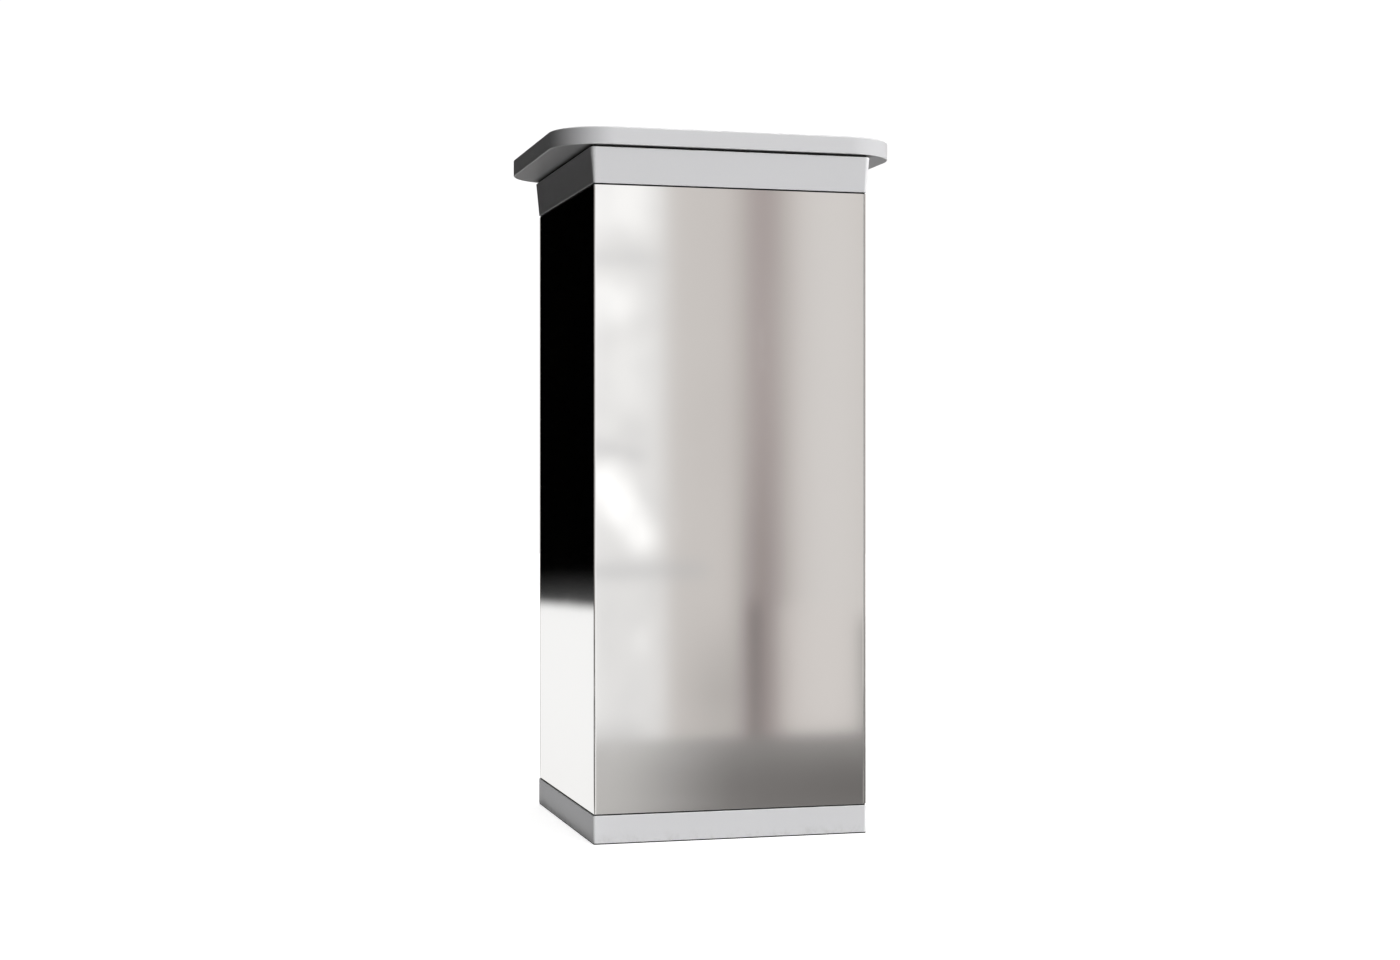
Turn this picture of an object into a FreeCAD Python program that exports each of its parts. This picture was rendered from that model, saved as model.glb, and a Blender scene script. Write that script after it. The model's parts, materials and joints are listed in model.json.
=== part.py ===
import FreeCAD, Part
import math
import os
import types
import Sketcher
from FreeCAD import Placement, Rotation, Vector

# Clad steel safety bollard. +Z is up, the floor is z = 0 and the origin is the middle of the
# base. The front face looks along -Y, the left face along -X. A square hollow post on a base
# plate carries three sheet carriers; two folded mirror shells close round them. A skirt, a
# flared collar and a thick cap plate finish the two ends.

# Driving dimensions in millimetres: name, value, meaning.
DIMENSIONS = (
    ("total_height", 1000, "floor to the top of the cap plate"),
    ("column_side", 400, "outside of the sleeve, both ways"),
    ("shell_gauge", 2, "mirror sheet"),
    ("bend_radius", 3, "outside radius of a sheet bend"),
    ("return_width", 30, "folded return behind the neighbouring shell"),
    ("skirt_height", 40, "floor to the top of the base skirt"),
    ("skirt_proud", 1.3, "skirt outside the sleeve"),
    ("skirt_wall", 5, "skirt wall"),
    ("ledge_thickness", 6, "skirt ledge under the sleeve"),
    ("ledge_width", 24, "sleeve face to the inner edge of the ledge"),
    ("rib_height", 10, "locating rib above the ledge"),
    ("rib_thickness", 3, "locating rib"),
    ("rib_clearance", 0.5, "rib to the inside of the shell returns"),
    ("bedding_thickness", 1.5, "seal strip under the skirt"),
    ("seal_thickness", 2, "seal strips at the two ends of the sleeve"),
    ("seal_inset", 0.5, "seal edge behind the visible face"),
    ("collar_height", 50, "collar"),
    ("collar_foot_proud", 1.2, "collar outside the sleeve at its foot"),
    ("collar_lip_proud", 6, "collar outside the sleeve at its lip"),
    ("collar_wall", 5, "collar wall at its foot"),
    ("collar_flange", 6, "collar's level flanges"),
    ("foot_flange_width", 35, "sleeve face to the inner edge of the foot flange"),
    ("lip_flange_width", 14, "sleeve face to the inner edge of the lip flange"),
    ("edge_break", 0.8, "rounding of the skirt's and collar's outer edges"),
    ("gasket_thickness", 3, "shadow gap under the cap plate"),
    ("gasket_recess", 4, "gasket edge behind the collar's lip"),
    ("plate_thickness", 25, "cap plate"),
    ("side_overhang", 52, "cap plate past the sleeve, left and right"),
    ("front_overhang", 12, "cap plate past the sleeve, front and back"),
    ("plate_corner", 78, "cap plate's corner radius"),
    ("plate_edge", 2, "rounding of the cap plate's edges"),
    ("base_thickness", 16, "base plate"),
    ("base_clearance", 1, "base plate to the skirt's ledge"),
    ("anchor_hole", 26, "anchor hole diameter"),
    ("anchor_inset", 35, "anchor hole to the edge of the base plate"),
    ("vent_hole", 60, "galvanising vent in base and head plate"),
    ("post_side", 200, "core post"),
    ("post_wall", 10, "core post wall"),
    ("post_corner", 15, "core post outside corner radius"),
    ("gusset_thickness", 10, "gusset"),
    ("gusset_height", 80, "gusset"),
    ("gusset_setback", 15, "gusset toe to the edge of the base plate"),
    ("gusset_nose", 10, "blunt ends of a gusset"),
    ("head_thickness", 15, "head plate on the post"),
    ("head_lip", 10, "head plate past the post"),
    ("bracket_gauge", 4, "skirt bracket sheet"),
    ("bracket_width", 40, "skirt bracket"),
    ("bracket_offset", 70, "skirt bracket along its side"),
    ("bracket_foot", 30, "skirt bracket's foot"),
    ("bracket_setback", 5, "bracket foot to the edge of the base plate"),
    ("bracket_reach", 8, "bracket's end to the sleeve face"),
    ("carrier_gauge", 3, "carrier sheet"),
    ("carrier_depth", 30, "carrier flange"),
    ("carrier_bend", 4, "carrier outside corner radius"),
    ("post_clearance", 1, "carrier opening round the post"),
    ("lower_level", 160, "top of the lower carrier"),
    ("relief_hole", 40, "lightening hole in a carrier's corner"),
    ("relief_inset", 50, "lightening hole to the sleeve face"),
    ("cleat_leg", 40, "carrier cleat legs"),
    ("cleat_gauge", 6, "carrier cleat"),
    ("cleat_width", 60, "carrier cleat"),
    ("spacer_length", 20, "cap spacer tube"),
    ("spacer_width", 24, "cap spacer outside diameter"),
    ("cap_screw_inset", 20, "cap screw to the inside of the post"),
    ("cap_recess", 17, "counterbore in the cap plate"),
    ("plug_thickness", 3, "plug over a cap screw"),
    ("screw_play", 0.5, "screw to the wall of its clearance hole"),
    ("seam_inset", 18, "shell screws at a seam to the sleeve face"),
    ("far_inset", 60, "shell screws at the folded corner to the sleeve face"),
    ("screw_drop", 15, "shell screws below the top of a carrier"),
    ("skirt_screw_inset", 17, "skirt screws to the sleeve face"),
    ("collar_screw_inset", 22, "collar screws to the sleeve face"),
    ("collar_screw_offset", 100, "collar screws along their side"),
    ("cleat_bolt_inset", 25, "carrier bolts to the post"),
    ("counterbore", 26, "counterbore and plug diameter in the cap plate"),
    ("rivet_head", 12, "rivet nut head diameter"),
    ("rivet_barrel", 8, "rivet nut barrel diameter"),
    ("rivet_depth", 11, "rivet nut barrel behind the carrier's face"),
    ("shell_screw_length", 14, "shell screw under its head"),
    ("screw_end", 2, "bolt end past its nut or plate"),
    ("small_shank", 5, "M5 screw"),
    ("small_head", 9.5, "M5 screw head diameter"),
    ("small_rise", 2.7, "M5 screw head height"),
    ("small_key", 3, "M5 hexagon socket"),
    ("medium_shank", 6, "M6 screw"),
    ("medium_head", 10.5, "M6 screw head diameter"),
    ("medium_rise", 3.3, "M6 screw head height"),
    ("medium_key", 4, "M6 hexagon socket"),
    ("medium_nut", 10, "M6 nut across flats"),
    ("medium_nut_rise", 5, "M6 nut height"),
    ("large_shank", 8, "M8 bolt"),
    ("large_head", 13, "M8 bolt head diameter"),
    ("large_rise", 8, "M8 bolt head height"),
    ("large_key", 6, "M8 hexagon socket"),
    ("large_nut", 13, "M8 nut across flats"),
    ("large_nut_rise", 6.5, "M8 nut height"),
    ("cap_shank", 12, "M12 cap screw"),
    ("cap_head", 18, "M12 cap screw head diameter"),
    ("cap_rise", 12, "M12 cap screw head height"),
    ("cap_key", 10, "M12 hexagon socket"),
)

# A hexagon socket is this share of its screw's head deep.
KEY_DEPTH_SHARE = 0.6
# Lengths closer than this are the same; a cut smaller than this in volume is no cut.
TOLERANCE = 1e-6
SMALLEST_CUT = 1
QUARTER_TURNS = (("right", 0), ("back", 90), ("left", 180), ("front", 270))


class Dim:
    """A length: its number, and the spreadsheet expression that keeps an object bound to it."""

    def __init__(self, number, text):
        self.number = number
        self.text = text

    def __add__(self, other):
        other = as_dim(other)
        return Dim(self.number + other.number, f"({self.text} + {other.text})")

    def __sub__(self, other):
        other = as_dim(other)
        return Dim(self.number - other.number, f"({self.text} - {other.text})")

    def __mul__(self, other):
        other = as_dim(other)
        return Dim(self.number * other.number, f"({self.text} * {other.text})")

    def __truediv__(self, other):
        other = as_dim(other)
        return Dim(self.number / other.number, f"({self.text} / {other.text})")

    def __radd__(self, other):
        return as_dim(other) + self

    def __rsub__(self, other):
        return as_dim(other) - self

    def __rmul__(self, other):
        return as_dim(other) * self

    def __neg__(self):
        return Dim(-self.number, f"(0 - {self.text})")


def as_dim(value):
    """A plain number as a Dim, so that both mix in sums."""
    if isinstance(value, Dim):
        return value
    return Dim(value, f"({value})")


doc = FreeCAD.newDocument("safety_bollard")
sheet = doc.addObject("Spreadsheet::Sheet", "Size")
for row, (alias, number, meaning) in enumerate(DIMENSIONS, start=1):
    sheet.set(f"A{row}", alias)
    sheet.set(f"B{row}", str(number))
    sheet.set(f"C{row}", meaning)
    sheet.setAlias(f"B{row}", alias)
doc.recompute()
d = types.SimpleNamespace(**{
    alias: Dim(number, f"Size.{alias}") for alias, number, meaning in DIMENSIONS
})


def hardware(name):
    """One size of screw, with its nut where the bollard uses one."""
    parts = ("shank", "head", "rise", "key", "nut", "nut_rise")
    return types.SimpleNamespace(**{part: getattr(d, f"{name}_{part}", None) for part in parts})


SMALL = hardware("small")
MEDIUM = hardware("medium")
LARGE = hardware("large")
CAP = hardware("cap")

# Levels, from the floor up.
half = d.column_side / 2
plate_bottom = d.total_height - d.plate_thickness
collar_top = plate_bottom - d.gasket_thickness
collar_bottom = collar_top - d.collar_height
shell_top = collar_bottom - d.seal_thickness
shell_bottom = d.skirt_height + d.seal_thickness
shell_length = shell_top - shell_bottom
head_top = plate_bottom - d.spacer_length
post_top = head_top - d.head_thickness
ledge_bottom = d.skirt_height - d.ledge_thickness
CARRIER_LEVELS = (
    ("lower", d.lower_level),
    ("middle", (d.lower_level + shell_top) / 2),
    ("upper", shell_top),
)

# Half widths in plan, from the middle outwards.
post_half = d.post_side / 2
cap_screw_offset = post_half - d.post_wall - d.cap_screw_inset
ledge_half = half - d.ledge_width
base_half = ledge_half - d.base_clearance
anchor_half = base_half - d.anchor_inset
inner_bend = d.bend_radius - d.shell_gauge
shell_inside = half - d.shell_gauge
return_inside = half - d.shell_gauge * 2
seam_line = half - d.seam_inset
SCREW_COLUMNS = (-seam_line, half - d.far_inset)
bracket_screw_line = base_half - d.bracket_setback - d.bracket_foot / 2
skirt_screw_line = half - d.skirt_screw_inset
collar_screw_line = half - d.collar_screw_inset
lip_half = half + d.collar_lip_proud


# ---------------------------------------------------------------- document helpers

def bind(thing, path, length):
    """Tie one property of a document object to the spreadsheet."""
    thing.setExpression(path, as_dim(length).text)


def place(thing, x=0, y=0, z=0, rotation=None):
    """Set a Placement whose position follows the spreadsheet."""
    position = [as_dim(value) for value in (x, y, z)]
    thing.Placement = Placement(Vector(*(p.number for p in position)), rotation or Rotation())
    for axis, length in zip("xyz", position):
        bind(thing, f"Placement.Base.{axis}", length)


def new_body(name, level=0):
    """Empty PartDesign body that stands at a level."""
    body = doc.addObject("PartDesign::Body", name)
    place(body, z=level)
    return body


def origin_feature(body, role):
    """One of the body's own origin planes or axes."""
    return next(item for item in body.Origin.OriginFeatures if item.Role == role)


def new_sketch(body, name, role="XY_Plane", offset=0):
    """Sketch on one of the body's origin planes, moved along the plane's normal."""
    sketch = body.newObject("Sketcher::SketchObject", f"{body.Name}_{name}")
    sketch.AttachmentSupport = [(origin_feature(body, role), "")]
    sketch.MapMode = "FlatFace"
    shift = as_dim(offset)
    sketch.AttachmentOffset = Placement(Vector(0, 0, shift.number), Rotation())
    bind(sketch, "AttachmentOffset.Base.z", shift)
    return sketch


# ---------------------------------------------------------------- sketch helpers

def tie(sketch, axis, geometry, point, length):
    """Fix one coordinate of a sketch point from the sketch's origin."""
    length = as_dim(length)
    kind = "DistanceX" if axis == "x" else "DistanceY"
    if length.number == 0:
        centre_line = -2 if axis == "x" else -1
        sketch.addConstraint(Sketcher.Constraint("PointOnObject", geometry, point, centre_line))
    elif length.number > 0:
        rule = Sketcher.Constraint(kind, -1, 1, geometry, point, length.number)
        bind(sketch, f"Constraints[{sketch.addConstraint(rule)}]", length)
    else:
        rule = Sketcher.Constraint(kind, geometry, point, -1, 1, -length.number)
        bind(sketch, f"Constraints[{sketch.addConstraint(rule)}]", -length)


def size_rule(sketch, kind, geometry, length):
    """Radius or Diameter constraint that follows the spreadsheet."""
    rule = Sketcher.Constraint(kind, geometry, length.number)
    bind(sketch, f"Constraints[{sketch.addConstraint(rule)}]", length)


def corner_arc(corner, before, after, radius):
    """Round corner between two directions: the arc, its two ends, and whether it turns left."""
    start = corner - before * radius
    end = corner + after * radius
    centre = start + after * radius
    turns_left = before.x * after.y - before.y * after.x > 0
    first, last = (start, end) if turns_left else (end, start)
    angles = [math.atan2(p.y - centre.y, p.x - centre.x) for p in (first, last)]
    if angles[1] < angles[0]:
        angles[1] += 2 * math.pi
    arc = Part.ArcOfCircle(Part.Circle(centre, Vector(0, 0, 1), radius), *angles)
    return arc, start, end, turns_left


def outline(sketch, corners):
    """Closed outline through the corners (x, y) or (x, y, radius).

    A level or upright line is tied by its own coordinate. Only a sharp corner may end a
    slanted line, whose ends are then tied both ways.
    """
    count = len(corners)
    points = [Vector(as_dim(c[0]).number, as_dim(c[1]).number, 0) for c in corners]
    ways = [(points[(i + 1) % count] - points[i]).normalize() for i in range(count)]
    starts = list(points)
    ends = [points[(i + 1) % count] for i in range(count)]
    arcs = {}
    for i, corner in enumerate(corners):
        if len(corner) == 3:
            radius = as_dim(corner[2]).number
            arc, start, end, turns_left = corner_arc(points[i], ways[i - 1], ways[i], radius)
            ends[i - 1] = start
            starts[i] = end
            arcs[i] = (arc, turns_left)
    lines = [sketch.addGeometry(Part.LineSegment(a, b)) for a, b in zip(starts, ends)]
    kinds = ["x" if abs(w.x) < TOLERANCE else "y" if abs(w.y) < TOLERANCE else "" for w in ways]
    for i, corner in enumerate(corners):
        following = corners[(i + 1) % count]
        if kinds[i]:
            word = "Vertical" if kinds[i] == "x" else "Horizontal"
            sketch.addConstraint(Sketcher.Constraint(word, lines[i]))
            tie(sketch, kinds[i], lines[i], 1, corner[0] if kinds[i] == "x" else corner[1])
        else:
            for axis, column in (("x", 0), ("y", 1)):
                if kinds[i - 1] != axis:
                    tie(sketch, axis, lines[i], 1, corner[column])
                if kinds[(i + 1) % count] != axis:
                    tie(sketch, axis, lines[i], 2, following[column])
    for i in range(count):
        if i not in arcs:
            rule = Sketcher.Constraint("Coincident", lines[i - 1], 2, lines[i], 1)
            sketch.addConstraint(rule)
            continue
        arc, turns_left = arcs[i]
        bend = sketch.addGeometry(arc)
        before, after = (1, 2) if turns_left else (2, 1)
        sketch.addConstraint(Sketcher.Constraint("Tangent", lines[i - 1], 2, bend, before))
        sketch.addConstraint(Sketcher.Constraint("Tangent", lines[i], 1, bend, after))
        size_rule(sketch, "Radius", bend, as_dim(corners[i][2]))


def rectangle(sketch, half_x, half_y, radius=None):
    """Rectangle about the sketch's origin, with round corners if a radius is given."""
    rounding = () if radius is None else (radius,)
    outline(sketch, [
        (-half_x, -half_y, *rounding),
        (half_x, -half_y, *rounding),
        (half_x, half_y, *rounding),
        (-half_x, half_y, *rounding),
    ])


def circle(sketch, x, y, diameter):
    """Circle tied to the sketch's origin."""
    x, y, diameter = (as_dim(value) for value in (x, y, diameter))
    centre = Vector(x.number, y.number, 0)
    edge = sketch.addGeometry(Part.Circle(centre, Vector(0, 0, 1), diameter.number / 2))
    tie(sketch, "x", edge, 3, x)
    tie(sketch, "y", edge, 3, y)
    size_rule(sketch, "Diameter", edge, diameter)


def hexagon(sketch, across_flats):
    """Regular hexagon about the sketch's origin, with two level sides."""
    across_tips = across_flats * (2 / math.sqrt(3))
    reach = across_tips.number / 2
    tips = [Vector(reach, 0, 0)]
    for step in range(1, 6):
        angle = step * math.pi / 3
        tips.append(Vector(reach * math.cos(angle), reach * math.sin(angle), 0))
    sides = [sketch.addGeometry(Part.LineSegment(tips[i], tips[(i + 1) % 6])) for i in range(6)]
    guide = sketch.addGeometry(Part.Circle(Vector(), Vector(0, 0, 1), reach), True)
    sketch.addConstraint(Sketcher.Constraint("Coincident", guide, 3, -1, 1))
    size_rule(sketch, "Diameter", guide, across_tips)
    for i in range(6):
        sketch.addConstraint(Sketcher.Constraint("Coincident", sides[i], 2, sides[(i + 1) % 6], 1))
        sketch.addConstraint(Sketcher.Constraint("PointOnObject", sides[i], 1, guide))
    for side in sides[1:]:
        sketch.addConstraint(Sketcher.Constraint("Equal", sides[0], side))
    sketch.addConstraint(Sketcher.Constraint("PointOnObject", sides[0], 1, -1))


# ---------------------------------------------------------------- feature helpers

def pad(body, sketch, length, symmetric=False):
    """Extrude a sketch along its normal, or half each way."""
    feature = body.newObject("PartDesign::Pad", f"{sketch.Name}_pad")
    feature.Profile = sketch
    feature.Length = as_dim(length).number
    bind(feature, "Length", length)
    if symmetric:
        feature.SideType = "Symmetric"
    sketch.Visibility = False
    return feature


def pocket(body, sketch, depth=None, along_normal=True):
    """Cut a sketch out along its normal or against it, to a depth or right through."""
    feature = body.newObject("PartDesign::Pocket", f"{sketch.Name}_pocket")
    feature.Profile = sketch
    feature.Reversed = along_normal
    if depth is None:
        feature.Type = "ThroughAll"
    else:
        feature.Length = as_dim(depth).number
        bind(feature, "Length", depth)
    return feature


def four_times(body, feature):
    """Repeat a feature at quarter turns about the body's upright axis."""
    pattern = body.newObject("PartDesign::PolarPattern", f"{feature.Name}_pattern")
    pattern.Originals = [feature]
    pattern.Axis = (origin_feature(body, "Z_Axis"), [""])
    pattern.Angle = 360
    pattern.Occurrences = 4
    body.Tip = pattern
    return pattern


def round_edges(body, feature, levels, radius):
    """Fillet every edge of a feature that lies at one of the levels."""
    doc.recompute()
    names = []
    for number, edge in enumerate(feature.Shape.Edges, start=1):
        box = edge.BoundBox
        at_level = any(abs(box.ZMin - z) < TOLERANCE and abs(box.ZMax - z) < TOLERANCE
                       for z in levels)
        if at_level:
            names.append(f"Edge{number}")
    fillet = body.newObject("PartDesign::Fillet", f"{feature.Name}_edge")
    fillet.Base = (feature, names)
    fillet.Radius = radius.number
    bind(fillet, "Radius", radius)
    return fillet


def ring(name, outer, inner, height, level, outer_radius, inner_radius):
    """Square ring that stands at a level."""
    body = new_body(name, level)
    sketch = new_sketch(body, "plan")
    rectangle(sketch, outer, outer, outer_radius)
    rectangle(sketch, inner, inner, inner_radius)
    pad(body, sketch, height)
    return body


def turned(name, corners):
    """Round piece: a closed profile of (radius, height) turned about the upright axis."""
    body = new_body(name)
    sketch = new_sketch(body, "profile", "XZ_Plane")
    outline(sketch, corners)
    feature = body.newObject("PartDesign::Revolution", f"{name}_turned")
    feature.Profile = sketch
    feature.ReferenceAxis = (sketch, ["V_Axis"])
    feature.Angle = 360
    return body


def screw(name, size, length):
    """Hexagon socket screw: the head stands on z = 0 and the shank hangs below it."""
    shank = size.shank / 2
    head = size.head / 2
    body = turned(name, [
        (0, -length), (shank, -length), (shank, 0), (head, 0), (head, size.rise),
        (0, size.rise),
    ])
    key = new_sketch(body, "key", offset=size.rise)
    hexagon(key, size.key)
    pocket(body, key, size.rise * KEY_DEPTH_SHARE, along_normal=False)
    return body


def nut(name, size):
    """Hexagon nut that hangs below z = 0."""
    body = new_body(name)
    sketch = new_sketch(body, "plan", offset=-size.nut_rise)
    hexagon(sketch, size.nut)
    circle(sketch, 0, 0, size.shank)
    pad(body, sketch, size.nut_rise)
    return body


def group(name, master, places):
    """Identical loose pieces as one named sub-part: each place is (x, y, z, rotation)."""
    links = []
    for number, (x, y, z, rotation) in enumerate(places, start=1):
        link = doc.addObject("App::Link", f"{name}_{number}")
        link.LinkedObject = master
        place(link, x, y, z, rotation)
        links.append(link)
    compound = doc.addObject("Part::Compound", name)
    compound.Links = links
    return compound


def clearance(size):
    """Clearance hole for a screw's shank."""
    return size.shank + d.screw_play * 2


UPRIGHT = Rotation()
FACING_RIGHT = Rotation(Vector(0, 1, 0), 90)
FACING_BACK = Rotation(Vector(1, 0, 0), -90)


# ---------------------------------------------------------------- welded core

def base_plate():
    body = new_body("base_plate")
    plan = new_sketch(body, "plan")
    rectangle(plan, base_half, base_half)
    circle(plan, 0, 0, d.vent_hole)
    pad(body, plan, d.base_thickness)
    anchors = new_sketch(body, "anchor")
    circle(anchors, anchor_half, anchor_half, d.anchor_hole)
    four_times(body, pocket(body, anchors))
    taps = new_sketch(body, "bracket_tap")
    circle(taps, bracket_screw_line, d.bracket_offset, MEDIUM.shank)
    four_times(body, pocket(body, taps))
    return body


def core_post():
    inner = post_half - d.post_wall
    return ring("core_post", post_half, inner, post_top - d.base_thickness, d.base_thickness,
                d.post_corner, d.post_corner - d.post_wall)


def gusset(side, angle):
    """Upright rib between the post and the base plate, with blunt toe and tip."""
    body = new_body(f"gusset_{side}")
    sketch = new_sketch(body, "profile", "XZ_Plane")
    toe = base_half - d.gusset_setback
    outline(sketch, [
        (post_half, 0), (toe, 0), (toe, d.gusset_nose),
        (post_half + d.gusset_nose, d.gusset_height), (post_half, d.gusset_height),
    ])
    pad(body, sketch, d.gusset_thickness, symmetric=True)
    turn(body, angle, d.base_thickness)
    return body


def head_plate():
    body = new_body("head_plate", post_top)
    plan = new_sketch(body, "plan")
    side = post_half + d.head_lip
    rectangle(plan, side, side)
    circle(plan, 0, 0, d.vent_hole)
    pad(body, plan, d.head_thickness)
    taps = new_sketch(body, "tap")
    circle(taps, cap_screw_offset, cap_screw_offset, CAP.shank)
    four_times(body, pocket(body, taps))
    return body


def turn(body, angle, level):
    """Turn a body about the bollard's upright axis."""
    place(body, z=level, rotation=Rotation(Vector(0, 0, 1), angle))


def quarter_places(x, y, z):
    """The same place on each of the four sides."""
    turns = ((x, y), (-y, x), (-x, -y), (y, -x))
    return [(px, py, z, UPRIGHT) for px, py in turns]


# ---------------------------------------------------------------- base skirt

def skirt_bracket(side, angle):
    """Folded Z: a foot on the base plate, a riser, and a head under the skirt's ledge."""
    body = new_body(f"skirt_bracket_{side}")
    sketch = new_sketch(body, "profile", "XZ_Plane", offset=-d.bracket_offset)
    rise = ledge_bottom - d.base_thickness
    heel = base_half - d.bracket_setback
    riser = heel - d.bracket_gauge
    tip = half - d.bracket_reach
    outline(sketch, [
        (heel - d.bracket_foot, 0), (heel, 0), (heel, rise - d.bracket_gauge),
        (tip, rise - d.bracket_gauge), (tip, rise), (riser, rise),
        (riser, d.bracket_gauge), (heel - d.bracket_foot, d.bracket_gauge),
    ])
    pad(body, sketch, d.bracket_width, symmetric=True)
    holes = new_sketch(body, "foot_hole")
    circle(holes, bracket_screw_line, d.bracket_offset, clearance(MEDIUM))
    pocket(body, holes, d.bracket_gauge)
    tap = new_sketch(body, "head_tap", offset=rise)
    circle(tap, skirt_screw_line, d.bracket_offset, SMALL.shank)
    pocket(body, tap, d.bracket_gauge, along_normal=False)
    turn(body, angle, d.base_thickness)
    return body


def bedding_seal():
    outer = half + d.skirt_proud - d.seal_inset
    inner = half + d.skirt_proud - d.skirt_wall
    return ring("bedding_seal", outer, inner, d.bedding_thickness, 0, d.bend_radius, inner_bend)


def base_skirt():
    """Outer wall with a ledge for the sleeve, and a rib that keeps the sleeve in place."""
    body = new_body("base_skirt", d.bedding_thickness)
    height = d.skirt_height - d.bedding_thickness
    outer = half + d.skirt_proud
    plan = new_sketch(body, "plan")
    rectangle(plan, outer, outer, d.bend_radius + d.skirt_proud)
    block = pad(body, plan, height)
    round_edges(body, block, (0, height.number), d.edge_break)
    inside = new_sketch(body, "inside")
    wall = outer - d.skirt_wall
    rectangle(inside, wall, wall)
    pocket(body, inside, height - d.ledge_thickness)
    opening = new_sketch(body, "opening")
    rectangle(opening, ledge_half, ledge_half)
    pocket(body, opening)
    rib = new_sketch(body, "rib", offset=height)
    rib_outer = return_inside - d.rib_clearance
    rib_inner = rib_outer - d.rib_thickness
    rectangle(rib, rib_outer, rib_outer)
    rectangle(rib, rib_inner, rib_inner)
    pad(body, rib, d.rib_height)
    screws = new_sketch(body, "screw_hole", offset=height)
    circle(screws, skirt_screw_line, d.bracket_offset, clearance(SMALL))
    four_times(body, pocket(body, screws, d.ledge_thickness, along_normal=False))
    return body


# ---------------------------------------------------------------- sleeve

def end_seal(name, level):
    return ring(name, half - d.seal_inset, return_inside, d.seal_thickness, level,
                d.bend_radius, inner_bend)


def front_shell():
    """Front and left face in one sheet, with a return behind each edge of the rear shell."""
    body = new_body("front_shell", shell_bottom)
    plan = new_sketch(body, "plan")
    tip = d.return_width - half
    outline(plan, [
        (-half, -half, d.bend_radius), (shell_inside, -half, d.bend_radius),
        (shell_inside, tip), (return_inside, tip),
        (return_inside, -shell_inside, inner_bend), (-shell_inside, -shell_inside, inner_bend),
        (-shell_inside, return_inside, inner_bend), (tip, return_inside),
        (tip, shell_inside), (-half, shell_inside, d.bend_radius),
    ])
    pad(body, plan, shell_length)
    hook_diameter = d.rivet_head + d.screw_play * 2
    side_holes(body, (-seam_line,), hook_diameter, shell_bottom, CARRIER_LEVELS)
    return body


def rear_shell():
    """Right and back face in one sheet; its edges stand flush with the front and left face."""
    body = new_body("rear_shell", shell_bottom)
    plan = new_sketch(body, "plan")
    outline(plan, [
        (shell_inside, -half), (half, -half), (half, half, d.bend_radius),
        (-half, half), (-half, shell_inside), (shell_inside, shell_inside, inner_bend),
    ])
    pad(body, plan, shell_length)
    side_holes(body, SCREW_COLUMNS, clearance(SMALL), shell_bottom, CARRIER_LEVELS)
    return body


def side_holes(body, columns, diameter, bottom, levels):
    """Holes in the right and the back side of a body, in line with the shell screws."""
    for name, role, along_normal in (("right", "YZ_Plane", True), ("back", "XZ_Plane", False)):
        sketch = new_sketch(body, f"{name}_holes", role)
        for carrier_name, level in levels:
            for column in columns:
                circle(sketch, column, level - d.screw_drop - bottom, diameter)
        pocket(body, sketch, along_normal=along_normal)


def carrier(name, level):
    """Sheet tray round the post: a level web on the cleats and a flange behind the shells."""
    body = new_body(f"{name}_carrier", level)
    block_plan = new_sketch(body, "plan", offset=-d.carrier_depth)
    outline(block_plan, [
        (-shell_inside, -shell_inside, d.carrier_bend),
        (return_inside, -shell_inside, d.carrier_bend),
        (return_inside, return_inside, d.carrier_bend),
        (-shell_inside, return_inside, d.carrier_bend),
    ])
    pad(body, block_plan, d.carrier_depth)
    tray = new_sketch(body, "tray", offset=-d.carrier_depth)
    left = d.carrier_gauge - shell_inside
    right = return_inside - d.carrier_gauge
    outline(tray, [(left, left), (right, left), (right, right), (left, right)])
    pocket(body, tray, d.carrier_depth - d.carrier_gauge)
    opening = new_sketch(body, "opening", offset=-d.carrier_depth)
    clear = post_half + d.post_clearance
    rectangle(opening, clear, clear, d.post_corner)
    for side in (-1, 1):
        bolt_x = (post_half + d.cleat_bolt_inset) * side
        circle(opening, bolt_x, 0, clearance(LARGE))
    pocket(body, opening)
    relief = new_sketch(body, "relief", offset=-d.carrier_depth)
    relief_line = half - d.relief_inset
    circle(relief, relief_line, relief_line, d.relief_hole)
    four_times(body, pocket(body, relief))
    if name == "upper":
        holes = new_sketch(body, "collar_hole", offset=-d.carrier_depth)
        for side in (-1, 1):
            circle(holes, collar_screw_line, d.collar_screw_offset * side, clearance(MEDIUM))
        four_times(body, pocket(body, holes))
    side_holes(body, SCREW_COLUMNS, d.rivet_barrel, level, [(name, level)])
    return body


def cleat(name, level, side, angle):
    """Angle welded to the post; a carrier's web rests on its level leg."""
    body = new_body(f"cleat_{name}_{side}")
    sketch = new_sketch(body, "profile", "XZ_Plane")
    leg = post_half + d.cleat_leg
    root = post_half + d.cleat_gauge
    outline(sketch, [
        (post_half, -d.cleat_leg), (root, -d.cleat_leg), (root, -d.cleat_gauge),
        (leg, -d.cleat_gauge), (leg, 0), (post_half, 0),
    ])
    pad(body, sketch, d.cleat_width, symmetric=True)
    hole = new_sketch(body, "bolt_hole")
    circle(hole, post_half + d.cleat_bolt_inset, 0, clearance(LARGE))
    pocket(body, hole, along_normal=False)
    turn(body, angle, level - d.carrier_gauge)
    return body


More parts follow.
